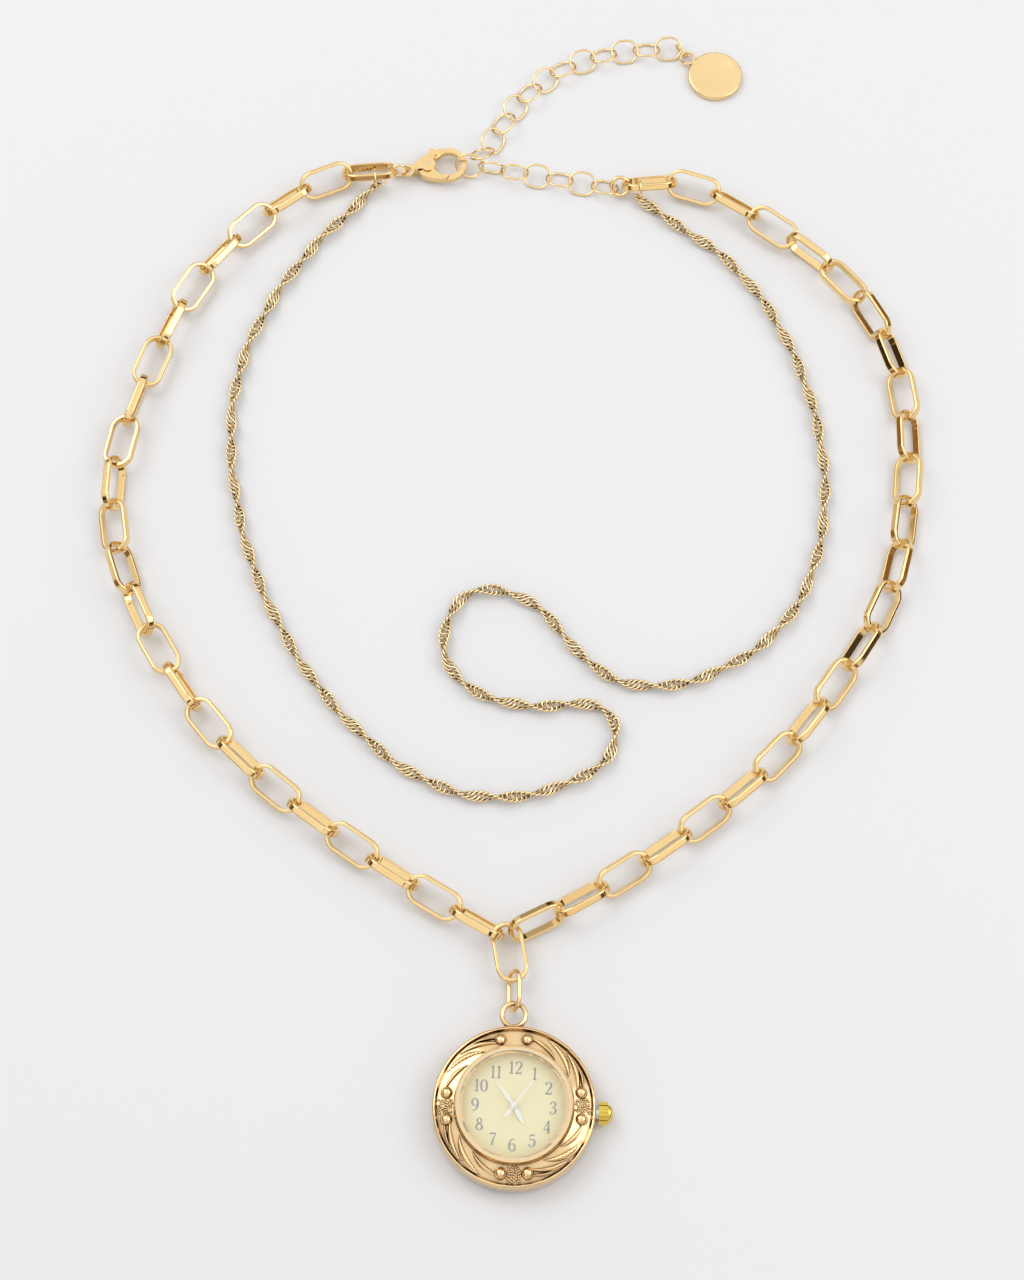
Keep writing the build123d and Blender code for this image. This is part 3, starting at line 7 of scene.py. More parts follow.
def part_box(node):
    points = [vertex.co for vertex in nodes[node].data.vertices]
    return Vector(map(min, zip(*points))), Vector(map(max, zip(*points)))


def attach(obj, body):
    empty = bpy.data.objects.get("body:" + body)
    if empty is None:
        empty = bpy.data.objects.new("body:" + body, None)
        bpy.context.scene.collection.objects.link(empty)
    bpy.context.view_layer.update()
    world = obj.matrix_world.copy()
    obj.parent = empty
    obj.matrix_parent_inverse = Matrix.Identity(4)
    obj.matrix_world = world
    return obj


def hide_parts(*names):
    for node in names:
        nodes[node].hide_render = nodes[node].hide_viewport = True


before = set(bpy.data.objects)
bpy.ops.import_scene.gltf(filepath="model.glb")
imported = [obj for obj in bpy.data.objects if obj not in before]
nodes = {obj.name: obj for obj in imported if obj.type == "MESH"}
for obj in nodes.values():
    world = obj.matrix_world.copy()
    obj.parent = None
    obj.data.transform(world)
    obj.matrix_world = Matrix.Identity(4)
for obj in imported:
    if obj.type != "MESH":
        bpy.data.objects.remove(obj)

scene = bpy.context.scene
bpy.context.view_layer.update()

# Camera: above the lower edge of the laid necklace and tilted, so that the round watch
# shows a little wider than tall. The sensor's 36 mm lie along the tall side of the frame.
camera_tilt = math.radians(21.6)
camera_data = bpy.data.cameras.new("camera")
camera_data.lens = 79.5
camera_data.sensor_width = 36.0
camera = bpy.data.objects.new("camera", camera_data)
camera.location = (-0.000331, -0.099597, 0.463740)
camera.rotation_euler = (camera_tilt, 0, 0)
scene.collection.objects.link(camera)
scene.camera = camera
scene.view_settings.view_transform = "Standard"


def linear_colour(code):
    """An sRGB hex colour as linear red, green, blue and a full alpha."""
    shares = [int(code[place : place + 2], 16) / 255 for place in (1, 3, 5)]
    linear = [s / 12.92 if s <= 0.04045 else ((s + 0.055) / 1.055) ** 2.4 for s in shares]
    return (*linear, 1.0)


def add_node(tree, kind, values=None, links=None, **settings):
    """Adds a node, sets its options and socket values, and links its inputs."""
    node = tree.nodes.new(kind)
    for name, value in settings.items():
        setattr(node, name, value)
    for socket, value in (values or {}).items():
        node.inputs[socket].default_value = value
    for socket, source in (links or {}).items():
        tree.links.new(source, node.inputs[socket])
    return node


def new_material(name, colour, roughness):
    """A material of one colour and roughness, with its node tree and its shader."""
    material = bpy.data.materials.new(name)
    material.use_nodes = True
    tree = material.node_tree
    tree.nodes.clear()
    shader = add_node(tree, "ShaderNodeBsdfPrincipled")
    output = add_node(tree, "ShaderNodeOutputMaterial")
    tree.links.new(shader.outputs["BSDF"], output.inputs["Surface"])
    shader.inputs["Base Color"].default_value = linear_colour(colour)
    shader.inputs["Roughness"].default_value = roughness
    return material, tree, shader


def flat_panel(name, width, height, placed, paint):
    """A rectangle round its own middle, moved by the matrix, as a part of the studio."""
    half_x, half_y = width / 2, height / 2
    corners = ((-half_x, -half_y), (half_x, -half_y), (half_x, half_y), (-half_x, half_y))
    mesh = bpy.data.meshes.new(name)
    mesh.from_pydata([placed @ Vector((x, y, 0)) for x, y in corners], [], [(0, 1, 2, 3)])
    mesh.materials.append(paint)
    panel = bpy.data.objects.new(name, mesh)
    scene.collection.objects.link(panel)
    return panel


# Table top: a smooth white board under the necklace, much wider than the view. It keeps the soft
# shadows, and the pale room above it is a white studio tent that lights the necklace and the board.
# Glossy rays see a painted reflection instead: a gradient from dark brown low down to white
# overhead.
board_width = 4.0
board_drop = Matrix.Translation((0, 0, -0.00002))
board_paint, tree, shader = new_material("white_board_matt", "#F1F1F2", 0.9)
shader.inputs["Specular IOR Level"].default_value = 0.1
flat_panel("table_board", board_width, board_width, board_drop, board_paint)

tent = bpy.data.worlds.new("studio_tent")
tent.use_nodes = True
scene.world = tent
tree = tent.node_tree
tree.nodes.clear()
light_path = add_node(tree, "ShaderNodeLightPath")
seen = add_node(
    tree,
    "ShaderNodeMath",
    links={0: light_path.outputs["Is Camera Ray"], 1: light_path.outputs["Is Transmission Ray"]},
    operation="MAXIMUM",
)
tent_light = add_node(
    tree, "ShaderNodeBackground", {"Color": linear_colour("#F7F7F8"), "Strength": 0.74}
)
tent_cloth = add_node(
    tree, "ShaderNodeBackground", {"Color": linear_colour("#EFEFEF"), "Strength": 1.0}
)
# Painted reflection, seen only by glossy rays: dark brown low down, then brown, cream and white
# overhead.
direction = add_node(tree, "ShaderNodeTexCoord")
parted = add_node(tree, "ShaderNodeSeparateXYZ", links={0: direction.outputs["Generated"]})
painted_reflection_ramp = add_node(tree, "ShaderNodeValToRGB", links={"Fac": parted.outputs["Z"]})
painted_reflection_colours = painted_reflection_ramp.color_ramp
painted_reflection_colours.elements[0].color = linear_colour("#6B5032")
painted_reflection_colours.elements[1].color = linear_colour("#FFFFFF")
for height, colour in ((0.16, "#8A6A45"), (0.27, "#E9DDCB"), (0.5, "#FAF7F2")):
    painted_reflection_colours.elements.new(height).color = linear_colour(colour)
painted_reflection_sky = add_node(
    tree, "ShaderNodeBackground", {"Strength": 1.08}, {"Color": painted_reflection_ramp.outputs["Color"]}
)
lit_or_mirrored = add_node(
    tree,
    "ShaderNodeMixShader",
    links={
        0: light_path.outputs["Is Glossy Ray"],
        1: tent_light.outputs["Background"],
        2: painted_reflection_sky.outputs["Background"],
    },
)
tent_mix = add_node(
    tree,
    "ShaderNodeMixShader",
    links={0: seen.outputs[0], 1: lit_or_mirrored.outputs[0], 2: tent_cloth.outputs["Background"]},
)
add_node(tree, "ShaderNodeOutputWorld", links={"Surface": tent_mix.outputs[0]})


def aimed(place, aim):
    """The matrix of a lamp or card that stands at one place and faces another."""
    facing = (Vector(aim) - Vector(place)).to_track_quat("-Z", "Y")
    return Matrix.Translation(place) @ facing.to_matrix().to_4x4()


def soft_box(name, place, width, height, power):
    """A rectangular lamp that shines at the necklace."""
    lamp_data = bpy.data.lights.new(name, "AREA")
    lamp_data.shape = "RECTANGLE"
    lamp_data.size = width
    lamp_data.size_y = height
    lamp_data.energy = power
    lamp = bpy.data.objects.new(name, lamp_data)
    lamp.matrix_world = aimed(place, necklace_middle)
    scene.collection.objects.link(lamp)


necklace_middle = (0, 0.1, 0)
soft_box("key_box", (-0.45, 0.45, 0.75), 0.6, 0.6, 2.2)
soft_box("fill_box", (0.55, 0.1, 0.6), 0.45, 0.6, 1.3)


def dark_card(name, place, width, height):
    """A dark studio card that only the polished metal sees, as a thin dark reflection."""
    card = flat_panel(name, width, height, aimed(place, necklace_middle), card_paint)
    card.visible_camera = False
    card.visible_diffuse = False
    card.visible_shadow = False
    card.visible_transmission = False


card_paint, tree, shader = new_material("brown_card_matt", "#2A190B", 1.0)
dark_card("card_left", (-0.9, -0.1, 0.35), 1.2, 0.22)
dark_card("card_right", (0.9, -0.2, 0.28), 1.2, 0.16)
dark_card("card_far", (0.0, 1.1, 0.3), 1.6, 0.2)
dark_card("card_near", (0.1, -0.75, 0.75), 0.5, 0.22)

# Twisted chain: the fine limp chain of the inner layer, small oval curb links that turn
# half round every few millimetres. Brass wire, bent and soldered, then light gold plated.
# Its route was read off the photograph, in millimetres on the table.
twist_points = [
    (-25.4, 175.9), (-29.8, 170.6), (-37.3, 162.6), (-44.3, 152.0), (-49.6, 140.2),
    (-51.6, 127.3), (-50.6, 113.6), (-47.3, 99.5), (-42.0, 87.2), (-35.2, 75.6),
    (-27.0, 66.2), (-18.4, 58.8), (-9.4, 54.9), (-1.6, 54.0), (6.0, 55.6),
    (12.2, 58.0), (17.0, 62.0), (18.2, 67.2), (15.4, 71.0), (10.2, 71.9),
    (4.2, 70.6), (-2.0, 72.0), (-7.6, 74.0), (-11.6, 78.2), (-12.6, 84.2),
    (-10.9, 90.0), (-6.6, 93.2), (-1.2, 93.0), (3.8, 90.3), (8.0, 85.8),
    (12.0, 80.0), (18.0, 75.6), (25.6, 74.4), (33.6, 76.4), (41.4, 80.6),
    (48.4, 87.0), (53.2, 95.8), (56.0, 107.8), (56.0, 121.0), (53.4, 134.4),
    (48.4, 147.4), (41.0, 158.6), (33.0, 165.2), (26.6, 169.6), (23.3, 173.0),
]
twist_diameter = 0.0026
twist_curve = bpy.data.curves.new("twist_route", "CURVE")
twist_curve.dimensions = "3D"
twist_spline = twist_curve.splines.new("NURBS")
twist_spline.points.add(len(twist_points) - 1)
for spot, (x, y) in zip(twist_spline.points, twist_points):
    spot.co = (x / 1000, y / 1000, twist_diameter / 2, 1)
twist_spline.order_u = 3
twist_spline.use_endpoint_u = True
twist_spline.resolution_u = 8
twist_route = bpy.data.objects.new("twist_route", twist_curve)
scene.collection.objects.link(twist_route)


def plain_mesh(source):
    """The mesh of an object as its curve or modifiers give it."""
    bpy.context.view_layer.update()
    seen_by = bpy.context.evaluated_depsgraph_get()
    return bpy.data.meshes.new_from_object(source.evaluated_get(seen_by))


route_mesh = plain_mesh(twist_route)
bpy.data.objects.remove(twist_route)


def plated_brass(name, colour, shade, roughness, grain, bump, painted_shade_reach=None, painted_shade_off_within=0.0):
    """Plating or bare metal, faintly uneven in tint and gloss, with painted shade in narrow
    hollows.

    The painted shade is a dark brown mixed in where ambient occlusion finds a hollow. It is left
    off within a radius of the watch's axis, where the crystal covers the hollows.
    """
    material, tree, shader = new_material(name, colour, roughness)
    place = add_node(tree, "ShaderNodeTexCoord")
    cloud = add_node(
        tree,
        "ShaderNodeTexNoise",
        {"Scale": 1 / grain, "Detail": 3.0, "Roughness": 0.55},
        {"Vector": place.outputs["Object"]},
    )
    tint = add_node(
        tree,
        "ShaderNodeMix",
        {6: linear_colour(shade), 7: linear_colour(colour)},
        {0: cloud.outputs["Fac"]},
        data_type="RGBA",
    )
    gloss = add_node(
        tree,
        "ShaderNodeMapRange",
        {"To Min": roughness * 0.8, "To Max": roughness * 1.25},
        {"Value": cloud.outputs["Fac"]},
    )
    relief = add_node(
        tree,
        "ShaderNodeBump",
        {"Strength": bump, "Distance": 0.00005},
        {"Height": cloud.outputs["Fac"]},
    )
    tone = tint.outputs[2]
    # Painted shade: ambient occlusion mixes the tint towards dark brown in narrow hollows, except
    # near the watch's axis.
    if painted_shade_reach:
        openness = add_node(tree, "ShaderNodeAmbientOcclusion", {"Distance": painted_shade_reach}, samples=8)
        flat_place = add_node(
            tree,
            "ShaderNodeVectorMath",
            {1: (1, 1, 0)},
            {0: place.outputs["Object"]},
            operation="MULTIPLY",
        )
        from_axis = add_node(
            tree, "ShaderNodeVectorMath", links={0: flat_place.outputs[0]}, operation="LENGTH"
        )
        under_glass = add_node(
            tree,
            "ShaderNodeMath",
            {1: painted_shade_off_within},
            {0: from_axis.outputs["Value"]},
            operation="LESS_THAN",
        )
        kept_bright = add_node(
            tree,
            "ShaderNodeMath",
            links={0: openness.outputs["AO"], 1: under_glass.outputs[0]},
            operation="MAXIMUM",
        )
        opened = add_node(
            tree,
            "ShaderNodeMapRange",
            {"From Min": 0.42, "From Max": 0.9},
            {"Value": kept_bright.outputs[0]},
        )
        # Painted shade colour: a dark brown for the hollows that ambient occlusion finds.
        painted_shade_mix = add_node(
            tree,
            "ShaderNodeMix",
            {6: linear_colour("#4E3012")},
            {0: opened.outputs[0], 7: tone},
            data_type="RGBA",
        )
        tone = painted_shade_mix.outputs[2]
    tree.links.new(tone, shader.inputs["Base Color"])
    tree.links.new(gloss.outputs[0], shader.inputs["Roughness"])
    tree.links.new(relief.outputs[0], shader.inputs["Normal"])
    shader.inputs["Metallic"].default_value = 1.0
    return material


def grower_tree(name, sizes):
    """A geometry node tree with one named number input for each size, and its input node."""
    tree = bpy.data.node_groups.new(name, "GeometryNodeTree")
    tree.is_modifier = True
    for way in ("INPUT", "OUTPUT"):
        tree.interface.new_socket("Geometry", in_out=way, socket_type="NodeSocketGeometry")
    for label, size in sizes.items():
        kind = "NodeSocketInt" if isinstance(size, int) else "NodeSocketFloat"
        tree.interface.new_socket(label, in_out="INPUT", socket_type=kind)
    return tree, add_node(tree, "NodeGroupInput")


def end_grower(tree, instances, material):
    """Makes the instances real, coats them and puts them out of the tree."""
    real = add_node(tree, "GeometryNodeRealizeInstances", links={0: instances.outputs[0]})
    coated = add_node(
        tree, "GeometryNodeSetMaterial", {"Material": material}, {"Geometry": real.outputs[0]}
    )
    add_node(tree, "NodeGroupOutput", links={0: coated.outputs[0]})


def grown_mesh(name, start_mesh, tree, sizes, material):
    """A plain mesh object from a node tree that is run once on a starting mesh."""
    seed = bpy.data.objects.new(name + "_seed", start_mesh)
    scene.collection.objects.link(seed)
    modifier = seed.modifiers.new("grown", "NODES")
    modifier.node_group = tree
    for socket in tree.interface.items_tree:
        if socket.name in sizes:
            modifier[socket.identifier] = sizes[socket.name]
    done = plain_mesh(seed)
    bpy.data.objects.remove(seed)
    piece = bpy.data.objects.new(name, done)
    if not done.materials:
        done.materials.append(material)
    scene.collection.objects.link(piece)
    return piece


# Painted shade darkens the narrow gaps between the fine links towards dark brown.
twist_gold = plated_brass(
    "light_gold_plate_fine_wire", "#FBE8BC", "#F0D098", 0.18, 0.002, 0.1, 0.0006
)
link_spacing = 0.00078
half_turn_length = 0.0064
twist_sizes = {
    "Link spacing": link_spacing,
    "Link half length": 0.00108,
    "Link half width": 0.00062,
    "Wire radius": 0.0002,
    "Turn per link": math.radians(180) * link_spacing / half_turn_length,
    "Link slant": math.radians(42),
}
link_tree, given = grower_tree("curb_links_along_route", twist_sizes)
line = add_node(link_tree, "GeometryNodeMeshToCurve", links={"Mesh": given.outputs["Geometry"]})
evenly = add_node(
    link_tree,
    "GeometryNodeResampleCurve",
    links={"Curve": line.outputs["Curve"], "Length": given.outputs["Link spacing"]},
    mode="LENGTH",
)
tangent = add_node(link_tree, "GeometryNodeInputTangent")
facing = add_node(
    link_tree,
    "FunctionNodeAlignRotationToVector",
    links={"Vector": tangent.outputs["Tangent"]},
    axis="X",
    pivot_axis="Z",
)
number = add_node(link_tree, "GeometryNodeInputIndex")
turned = add_node(
    link_tree,
    "ShaderNodeMath",
    links={0: number.outputs[0], 1: given.outputs["Turn per link"]},
    operation="MULTIPLY",
)
twist_angle = add_node(link_tree, "ShaderNodeCombineXYZ", links={"X": turned.outputs[0]})
slant_angle = add_node(link_tree, "ShaderNodeCombineXYZ", links={"Z": given.outputs["Link slant"]})
twisted = add_node(
    link_tree,
    "FunctionNodeRotateRotation",
    links={"Rotation": facing.outputs[0], "Rotate By": twist_angle.outputs[0]},
    rotation_space="LOCAL",
)
slanted = add_node(
    link_tree,
    "FunctionNodeRotateRotation",
    links={"Rotation": twisted.outputs[0], "Rotate By": slant_angle.outputs[0]},
    rotation_space="LOCAL",
)
oval = add_node(link_tree, "GeometryNodeCurvePrimitiveCircle", {"Resolution": 14, "Radius": 1.0})
oval_size = add_node(
    link_tree,
    "ShaderNodeCombineXYZ",
    {"Z": 1.0},
    {"X": given.outputs["Link half width"], "Y": given.outputs["Link half length"]},
)
oval_scaled = add_node(
    link_tree,
    "GeometryNodeTransform",
    links={"Geometry": oval.outputs["Curve"], "Scale": oval_size.outputs[0]},
)
wire_section = add_node(
    link_tree,
    "GeometryNodeCurvePrimitiveCircle",
    {"Resolution": 6},
    {"Radius": given.outputs["Wire radius"]},
)
one_link = add_node(
    link_tree,
    "GeometryNodeCurveToMesh",
    links={"Curve": oval_scaled.outputs[0], "Profile Curve": wire_section.outputs["Curve"]},
)
smooth_link = add_node(link_tree, "GeometryNodeSetShadeSmooth", links={0: one_link.outputs[0]})
placed = add_node(
    link_tree,
    "GeometryNodeInstanceOnPoints",
    links={
        "Points": evenly.outputs["Curve"],
        "Instance": smooth_link.outputs[0],
        "Rotation": slanted.outputs[0],
    },
)
end_grower(link_tree, placed, twist_gold)
fine_chain = grown_mesh("fine_twisted_chain", route_mesh, link_tree, twist_sizes, twist_gold)
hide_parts("twisted_chain")
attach(fine_chain, "laid_chain")


# Paperclip links: flat oval links bent from brass strip, their seams soldered and filed,
# rolled alternately as they lie. The strip is polished and plated in a light gold.
def coat(material, *names):
    """Gives CAD pieces this material."""
    for name in names:
        slots = nodes[name].data.materials
        slots.clear()
        slots.append(material)


link_gold = plated_brass(
    "light_gold_plate_polished_strip", "#F8DDA6", "#EFCB8C", 0.11, 0.006, 0.03
)
coat(link_gold, "left_chain_links", "right_chain_links", "pendant_link")

# Round wire: the extender's links, the jump rings and the ring of the watch are cut from
# drawn brass wire, closed and plated like the links.
tail_links = 12
wire_gold = plated_brass("light_gold_plate_drawn_wire", "#F9E0AC", "#F0CF94", 0.13, 0.003, 0.02)
coat(wire_gold, "extender_links", "extender_ring", "clasp_ring", "left_twist_ring")
coat(wire_gold, "right_twist_ring", "watch_ring", "tag_ring")
coat(wire_gold, *[f"tail_link_{number:02d}" for number in range(1, tail_links + 1)])

# Lobster clasp: a cast brass body and trigger, tumbled and plated, on a steel pin with a
# thin steel leaf behind the trigger.
clasp_gold = plated_brass(
    "light_gold_plate_tumbled_casting", "#F7DBA4", "#EAC586", 0.14, 0.0015, 0.08
)
coat(clasp_gold, "clasp_body", "clasp_trigger")


def plain_steel(name, colour, roughness, line):
    """Steel whose fine drawn or turned lines vary its gloss."""
    material, tree, shader = new_material(name, colour, roughness)
    place = add_node(tree, "ShaderNodeTexCoord")
    stretched = add_node(
        tree,
        "ShaderNodeMapping",
        {"Scale": (1.0, 1.0, 12.0)},
        {"Vector": place.outputs["Object"]},
    )
    lines = add_node(
        tree,
        "ShaderNodeTexNoise",
        {"Scale": 1 / line, "Detail": 2.0},
        {"Vector": stretched.outputs[0]},
    )
    gloss = add_node(
        tree,
        "ShaderNodeMapRange",
        {"To Min": roughness * 0.7, "To Max": roughness * 1.3},
        {"Value": lines.outputs["Fac"]},
    )
    tree.links.new(gloss.outputs[0], shader.inputs["Roughness"])
    shader.inputs["Metallic"].default_value = 1.0
    return material


pin_steel = plain_steel("turned_steel", "#C9C6C0", 0.25, 0.0004)
coat(pin_steel, "clasp_pin", "stem", "setting_lever", "bridge_screws")
leaf_steel = plain_steel("spring_steel_strip", "#B5B5B6", 0.3, 0.0004)
coat(leaf_steel, "clasp_spring", "battery_contact")

# End tag: a small stamped brass disc, softly dished and polished, left bare.
tag_gold = plated_brass("light_gold_plate_stamped_disc", "#F8DFAC", "#EFCE94", 0.1, 0.008, 0.02)
coat(tag_gold, "end_tag")

# Case ring: a brass casting with a rolled rim and leaf and bead relief in its channel, polished on
# the high places and plated in a warmer gold. Painted shade darkens the hollows of the relief, but
# not under the crystal.
case_gold = plated_brass(
    "warm_gold_plate_cast_relief", "#F5DAAC", "#E9C491", 0.11, 0.0012, 0.08, 0.0011, 0.0093
)
coat(case_gold, "case_ring")

# Relief leaves: four long curved leaves in each quarter of the channel, cast with the case.
# Each swells from a point at the rim to a domed middle and runs in to the bezel. A leaf's row
# gives its start and end as shares of the quarter and of the channel's width from the bezel
# (turn, rise, turn, rise), its width as such a share, and its number of notches.
dial_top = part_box("dial")[1][2]
channel_inner = 0.00995
channel_outer = 0.0127
channel_half_rise = 0.00045
bead_turn = math.radians(11.3)
quarter_turn = math.radians(90) - 2 * bead_turn
leaf_shares = [
    (0.02, 0.62, 0.46, 0.06, 0.28, 0),
    (0.22, 0.90, 0.76, 0.06, 0.36, 11),
    (0.48, 0.90, 0.99, 0.24, 0.30, 0),
    (0.66, 0.92, 0.98, 0.60, 0.16, 0),
]
leaf_crest = 0.0006
leaf_root = 0.00012
leaf_rows = 44
leaf_columns = 11
leaf_bow = 0.36
leaf_half_width = 0.58
swell_power = 0.75
dome_power = 2.4
dome_at_tips = 0.3
notch_depth = 0.22


def channel_spot(angle, rise, height):
    """A point over the channel's cone, which falls outwards from the bezel to the rim."""
    radius = channel_inner + rise * (channel_outer - channel_inner)
    level = dial_top + channel_half_rise * (1 - 2 * rise)
    return (radius * math.cos(angle), radius * math.sin(angle), level + height)


leaf_corners, leaf_faces = [], []
for start, start_rise, end, end_rise, width, notches in leaf_shares:
    first = len(leaf_corners)
    for row in range(leaf_rows + 1):
        along = row / leaf_rows
        swell = math.sin(math.pi * along) ** swell_power
        notch = 1 - notch_depth * abs(math.sin(math.pi * notches * along))
        turn_share = start + (end - start) * along
        angle = math.radians(90) - bead_turn - turn_share * quarter_turn
        middle_rise = start_rise + (end_rise - start_rise) * along + leaf_bow * width * swell
        for column in range(leaf_columns):
            across = 2 * column / (leaf_columns - 1) - 1
            tip_share = dome_at_tips + (1 - dome_at_tips) * swell
            dome = (1 - abs(across) ** dome_power) * tip_share * notch
            rise = middle_rise + across * leaf_half_width * width * swell
            leaf_corners.append(channel_spot(angle, rise, leaf_crest * dome - leaf_root))
    for row in range(leaf_rows):
        for column in range(leaf_columns - 1):
            corner = first + row * leaf_columns + column
            above = corner + leaf_columns
            leaf_faces.append((corner, corner + 1, above + 1, above))
quarter_mesh = bpy.data.meshes.new("quarter_leaves")
quarter_mesh.from_pydata(leaf_corners, [], leaf_faces)
for face in quarter_mesh.polygons:
    face.use_smooth = True
repeat_sizes = {"Copies": 4, "Turn each": -math.radians(90)}
repeat_tree, given = grower_tree("repeat_round_the_dial", repeat_sizes)
spots = add_node(
    repeat_tree,
    "GeometryNodeMeshLine",
    {"Offset": (0, 0, 0)},
    {"Count": given.outputs["Copies"]},
)
number = add_node(repeat_tree, "GeometryNodeInputIndex")
turned = add_node(
    repeat_tree,
    "ShaderNodeMath",
    links={0: number.outputs[0], 1: given.outputs["Turn each"]},
    operation="MULTIPLY",
)
about_z = add_node(repeat_tree, "ShaderNodeCombineXYZ", links={"Z": turned.outputs[0]})
copied = add_node(
    repeat_tree,
    "GeometryNodeInstanceOnPoints",
    links={
        "Points": spots.outputs[0],
        "Instance": given.outputs["Geometry"],
        "Rotation": about_z.outputs[0],
    },
)
end_grower(repeat_tree, copied, case_gold)
relief_leaves = grown_mesh("relief_leaves", quarter_mesh, repeat_tree, repeat_sizes, case_gold)
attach(relief_leaves, "watch")

# Stippled grounds: small cast grains between the beads at three, six and nine.
patch_corners, patch_faces = [], []
patch_columns = 6
patch_share = 0.5
patch_rises = (0.08, 0.92)
for place_turn in (-math.radians(90), -math.radians(180), -math.radians(270)):
    first = len(patch_corners)
    for column in range(patch_columns + 1):
        share = (2 * column / patch_columns - 1) * patch_share
        angle = math.radians(90) + place_turn + share * bead_turn
        patch_corners += [channel_spot(angle, rise, 0) for rise in patch_rises]
    for column in range(patch_columns):
        corner = first + 2 * column
        patch_faces.append((corner, corner + 2, corner + 3, corner + 1))
patch_mesh = bpy.data.meshes.new("stipple_ground")
patch_mesh.from_pydata(patch_corners, [], patch_faces)
grain_sizes = {"Grain radius": 0.00021, "Least spacing": 0.00027}
grain_tree, given = grower_tree("grains_on_a_ground", grain_sizes)
scattered = add_node(
    grain_tree,
    "GeometryNodeDistributePointsOnFaces",
    {"Density Max": 3.0e7, "Seed": 7},
    {"Mesh": given.outputs["Geometry"], "Distance Min": given.outputs["Least spacing"]},
    distribute_method="POISSON",
)
grain = add_node(
    grain_tree,
    "GeometryNodeMeshIcoSphere",
    {"Subdivisions": 2},
    {"Radius": given.outputs["Grain radius"]},
)
smooth_grain = add_node(
    grain_tree, "GeometryNodeSetShadeSmooth", links={0: grain.outputs["Mesh"]}
)
strewn = add_node(
    grain_tree,
    "GeometryNodeInstanceOnPoints",
    links={"Points": scattered.outputs["Points"], "Instance": smooth_grain.outputs[0]},
)
end_grower(grain_tree, strewn, case_gold)
stipple_grains = grown_mesh("stipple_grains", patch_mesh, grain_tree, grain_sizes, case_gold)
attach(stipple_grains, "watch")

# Inner bezel and back: a turned ring with a satin slope inside the crystal, and a snap-on
# steel lid that the watch lies on, brushed.
inner_gold = plated_brass("satin_gold_plate_turned_ring", "#F7EBC9", "#EFDDB0", 0.3, 0.0008, 0.1)
coat(inner_gold, "inner_bezel")
back_steel = plain_steel("brushed_steel_back", "#BDBAB4", 0.35, 0.0006)
coat(back_steel, "case_back")

# Crown: turned brass with a fluted grip and a domed end, plated in a greener gold, on a
# bright nickel neck.
crown_gold = plated_brass("green_gold_plate_fluted", "#F1DA76", "#DDBF52", 0.16, 0.001, 0.08)
coat(crown_gold, "crown")
neck_nickel = plain_steel("nickel_plate_tube", "#D8D6D2", 0.18, 0.0005)
coat(neck_nickel, "crown_tube")

# Crystal: a flat ground mineral glass, pressed in with a thin pale nylon gasket.
glass, tree, shader = new_material("mineral_glass_clear", "#F7F6EE", 0.03)
shader.inputs["Alpha"].default_value = 0.08
coat(glass, "crystal")
gasket, tree, shader = new_material("moulded_nylon_pale", "#EADFBE", 0.5)
coat(gasket, "crystal_gasket")

# Dial: a brass disc under satin champagne enamel, printed with plain hour numbers in a
# grey-lilac ink. The word under the hands is left off.
dial_paint, tree, shader = new_material("champagne_enamel_satin", "#F8F1C4", 0.42)
place = add_node(tree, "ShaderNodeTexCoord")
spread = add_node(
    tree, "ShaderNodeVectorMath", links={0: place.outputs["Object"]}, operation="LENGTH"
)
edge = add_node(
    tree,
    "ShaderNodeMapRange",
    {"From Min": 0.0074, "From Max": 0.0090},
    {"Value": spread.outputs["Value"]},
)
dial_tint = add_node(
    tree,
    "ShaderNodeMix",
    {6: linear_colour("#F8F1C4"), 7: linear_colour("#F1E6B4")},
    {0: edge.outputs[0]},
    data_type="RGBA",
)
tree.links.new(dial_tint.outputs[2], shader.inputs["Base Color"])
coat(dial_paint, "dial")

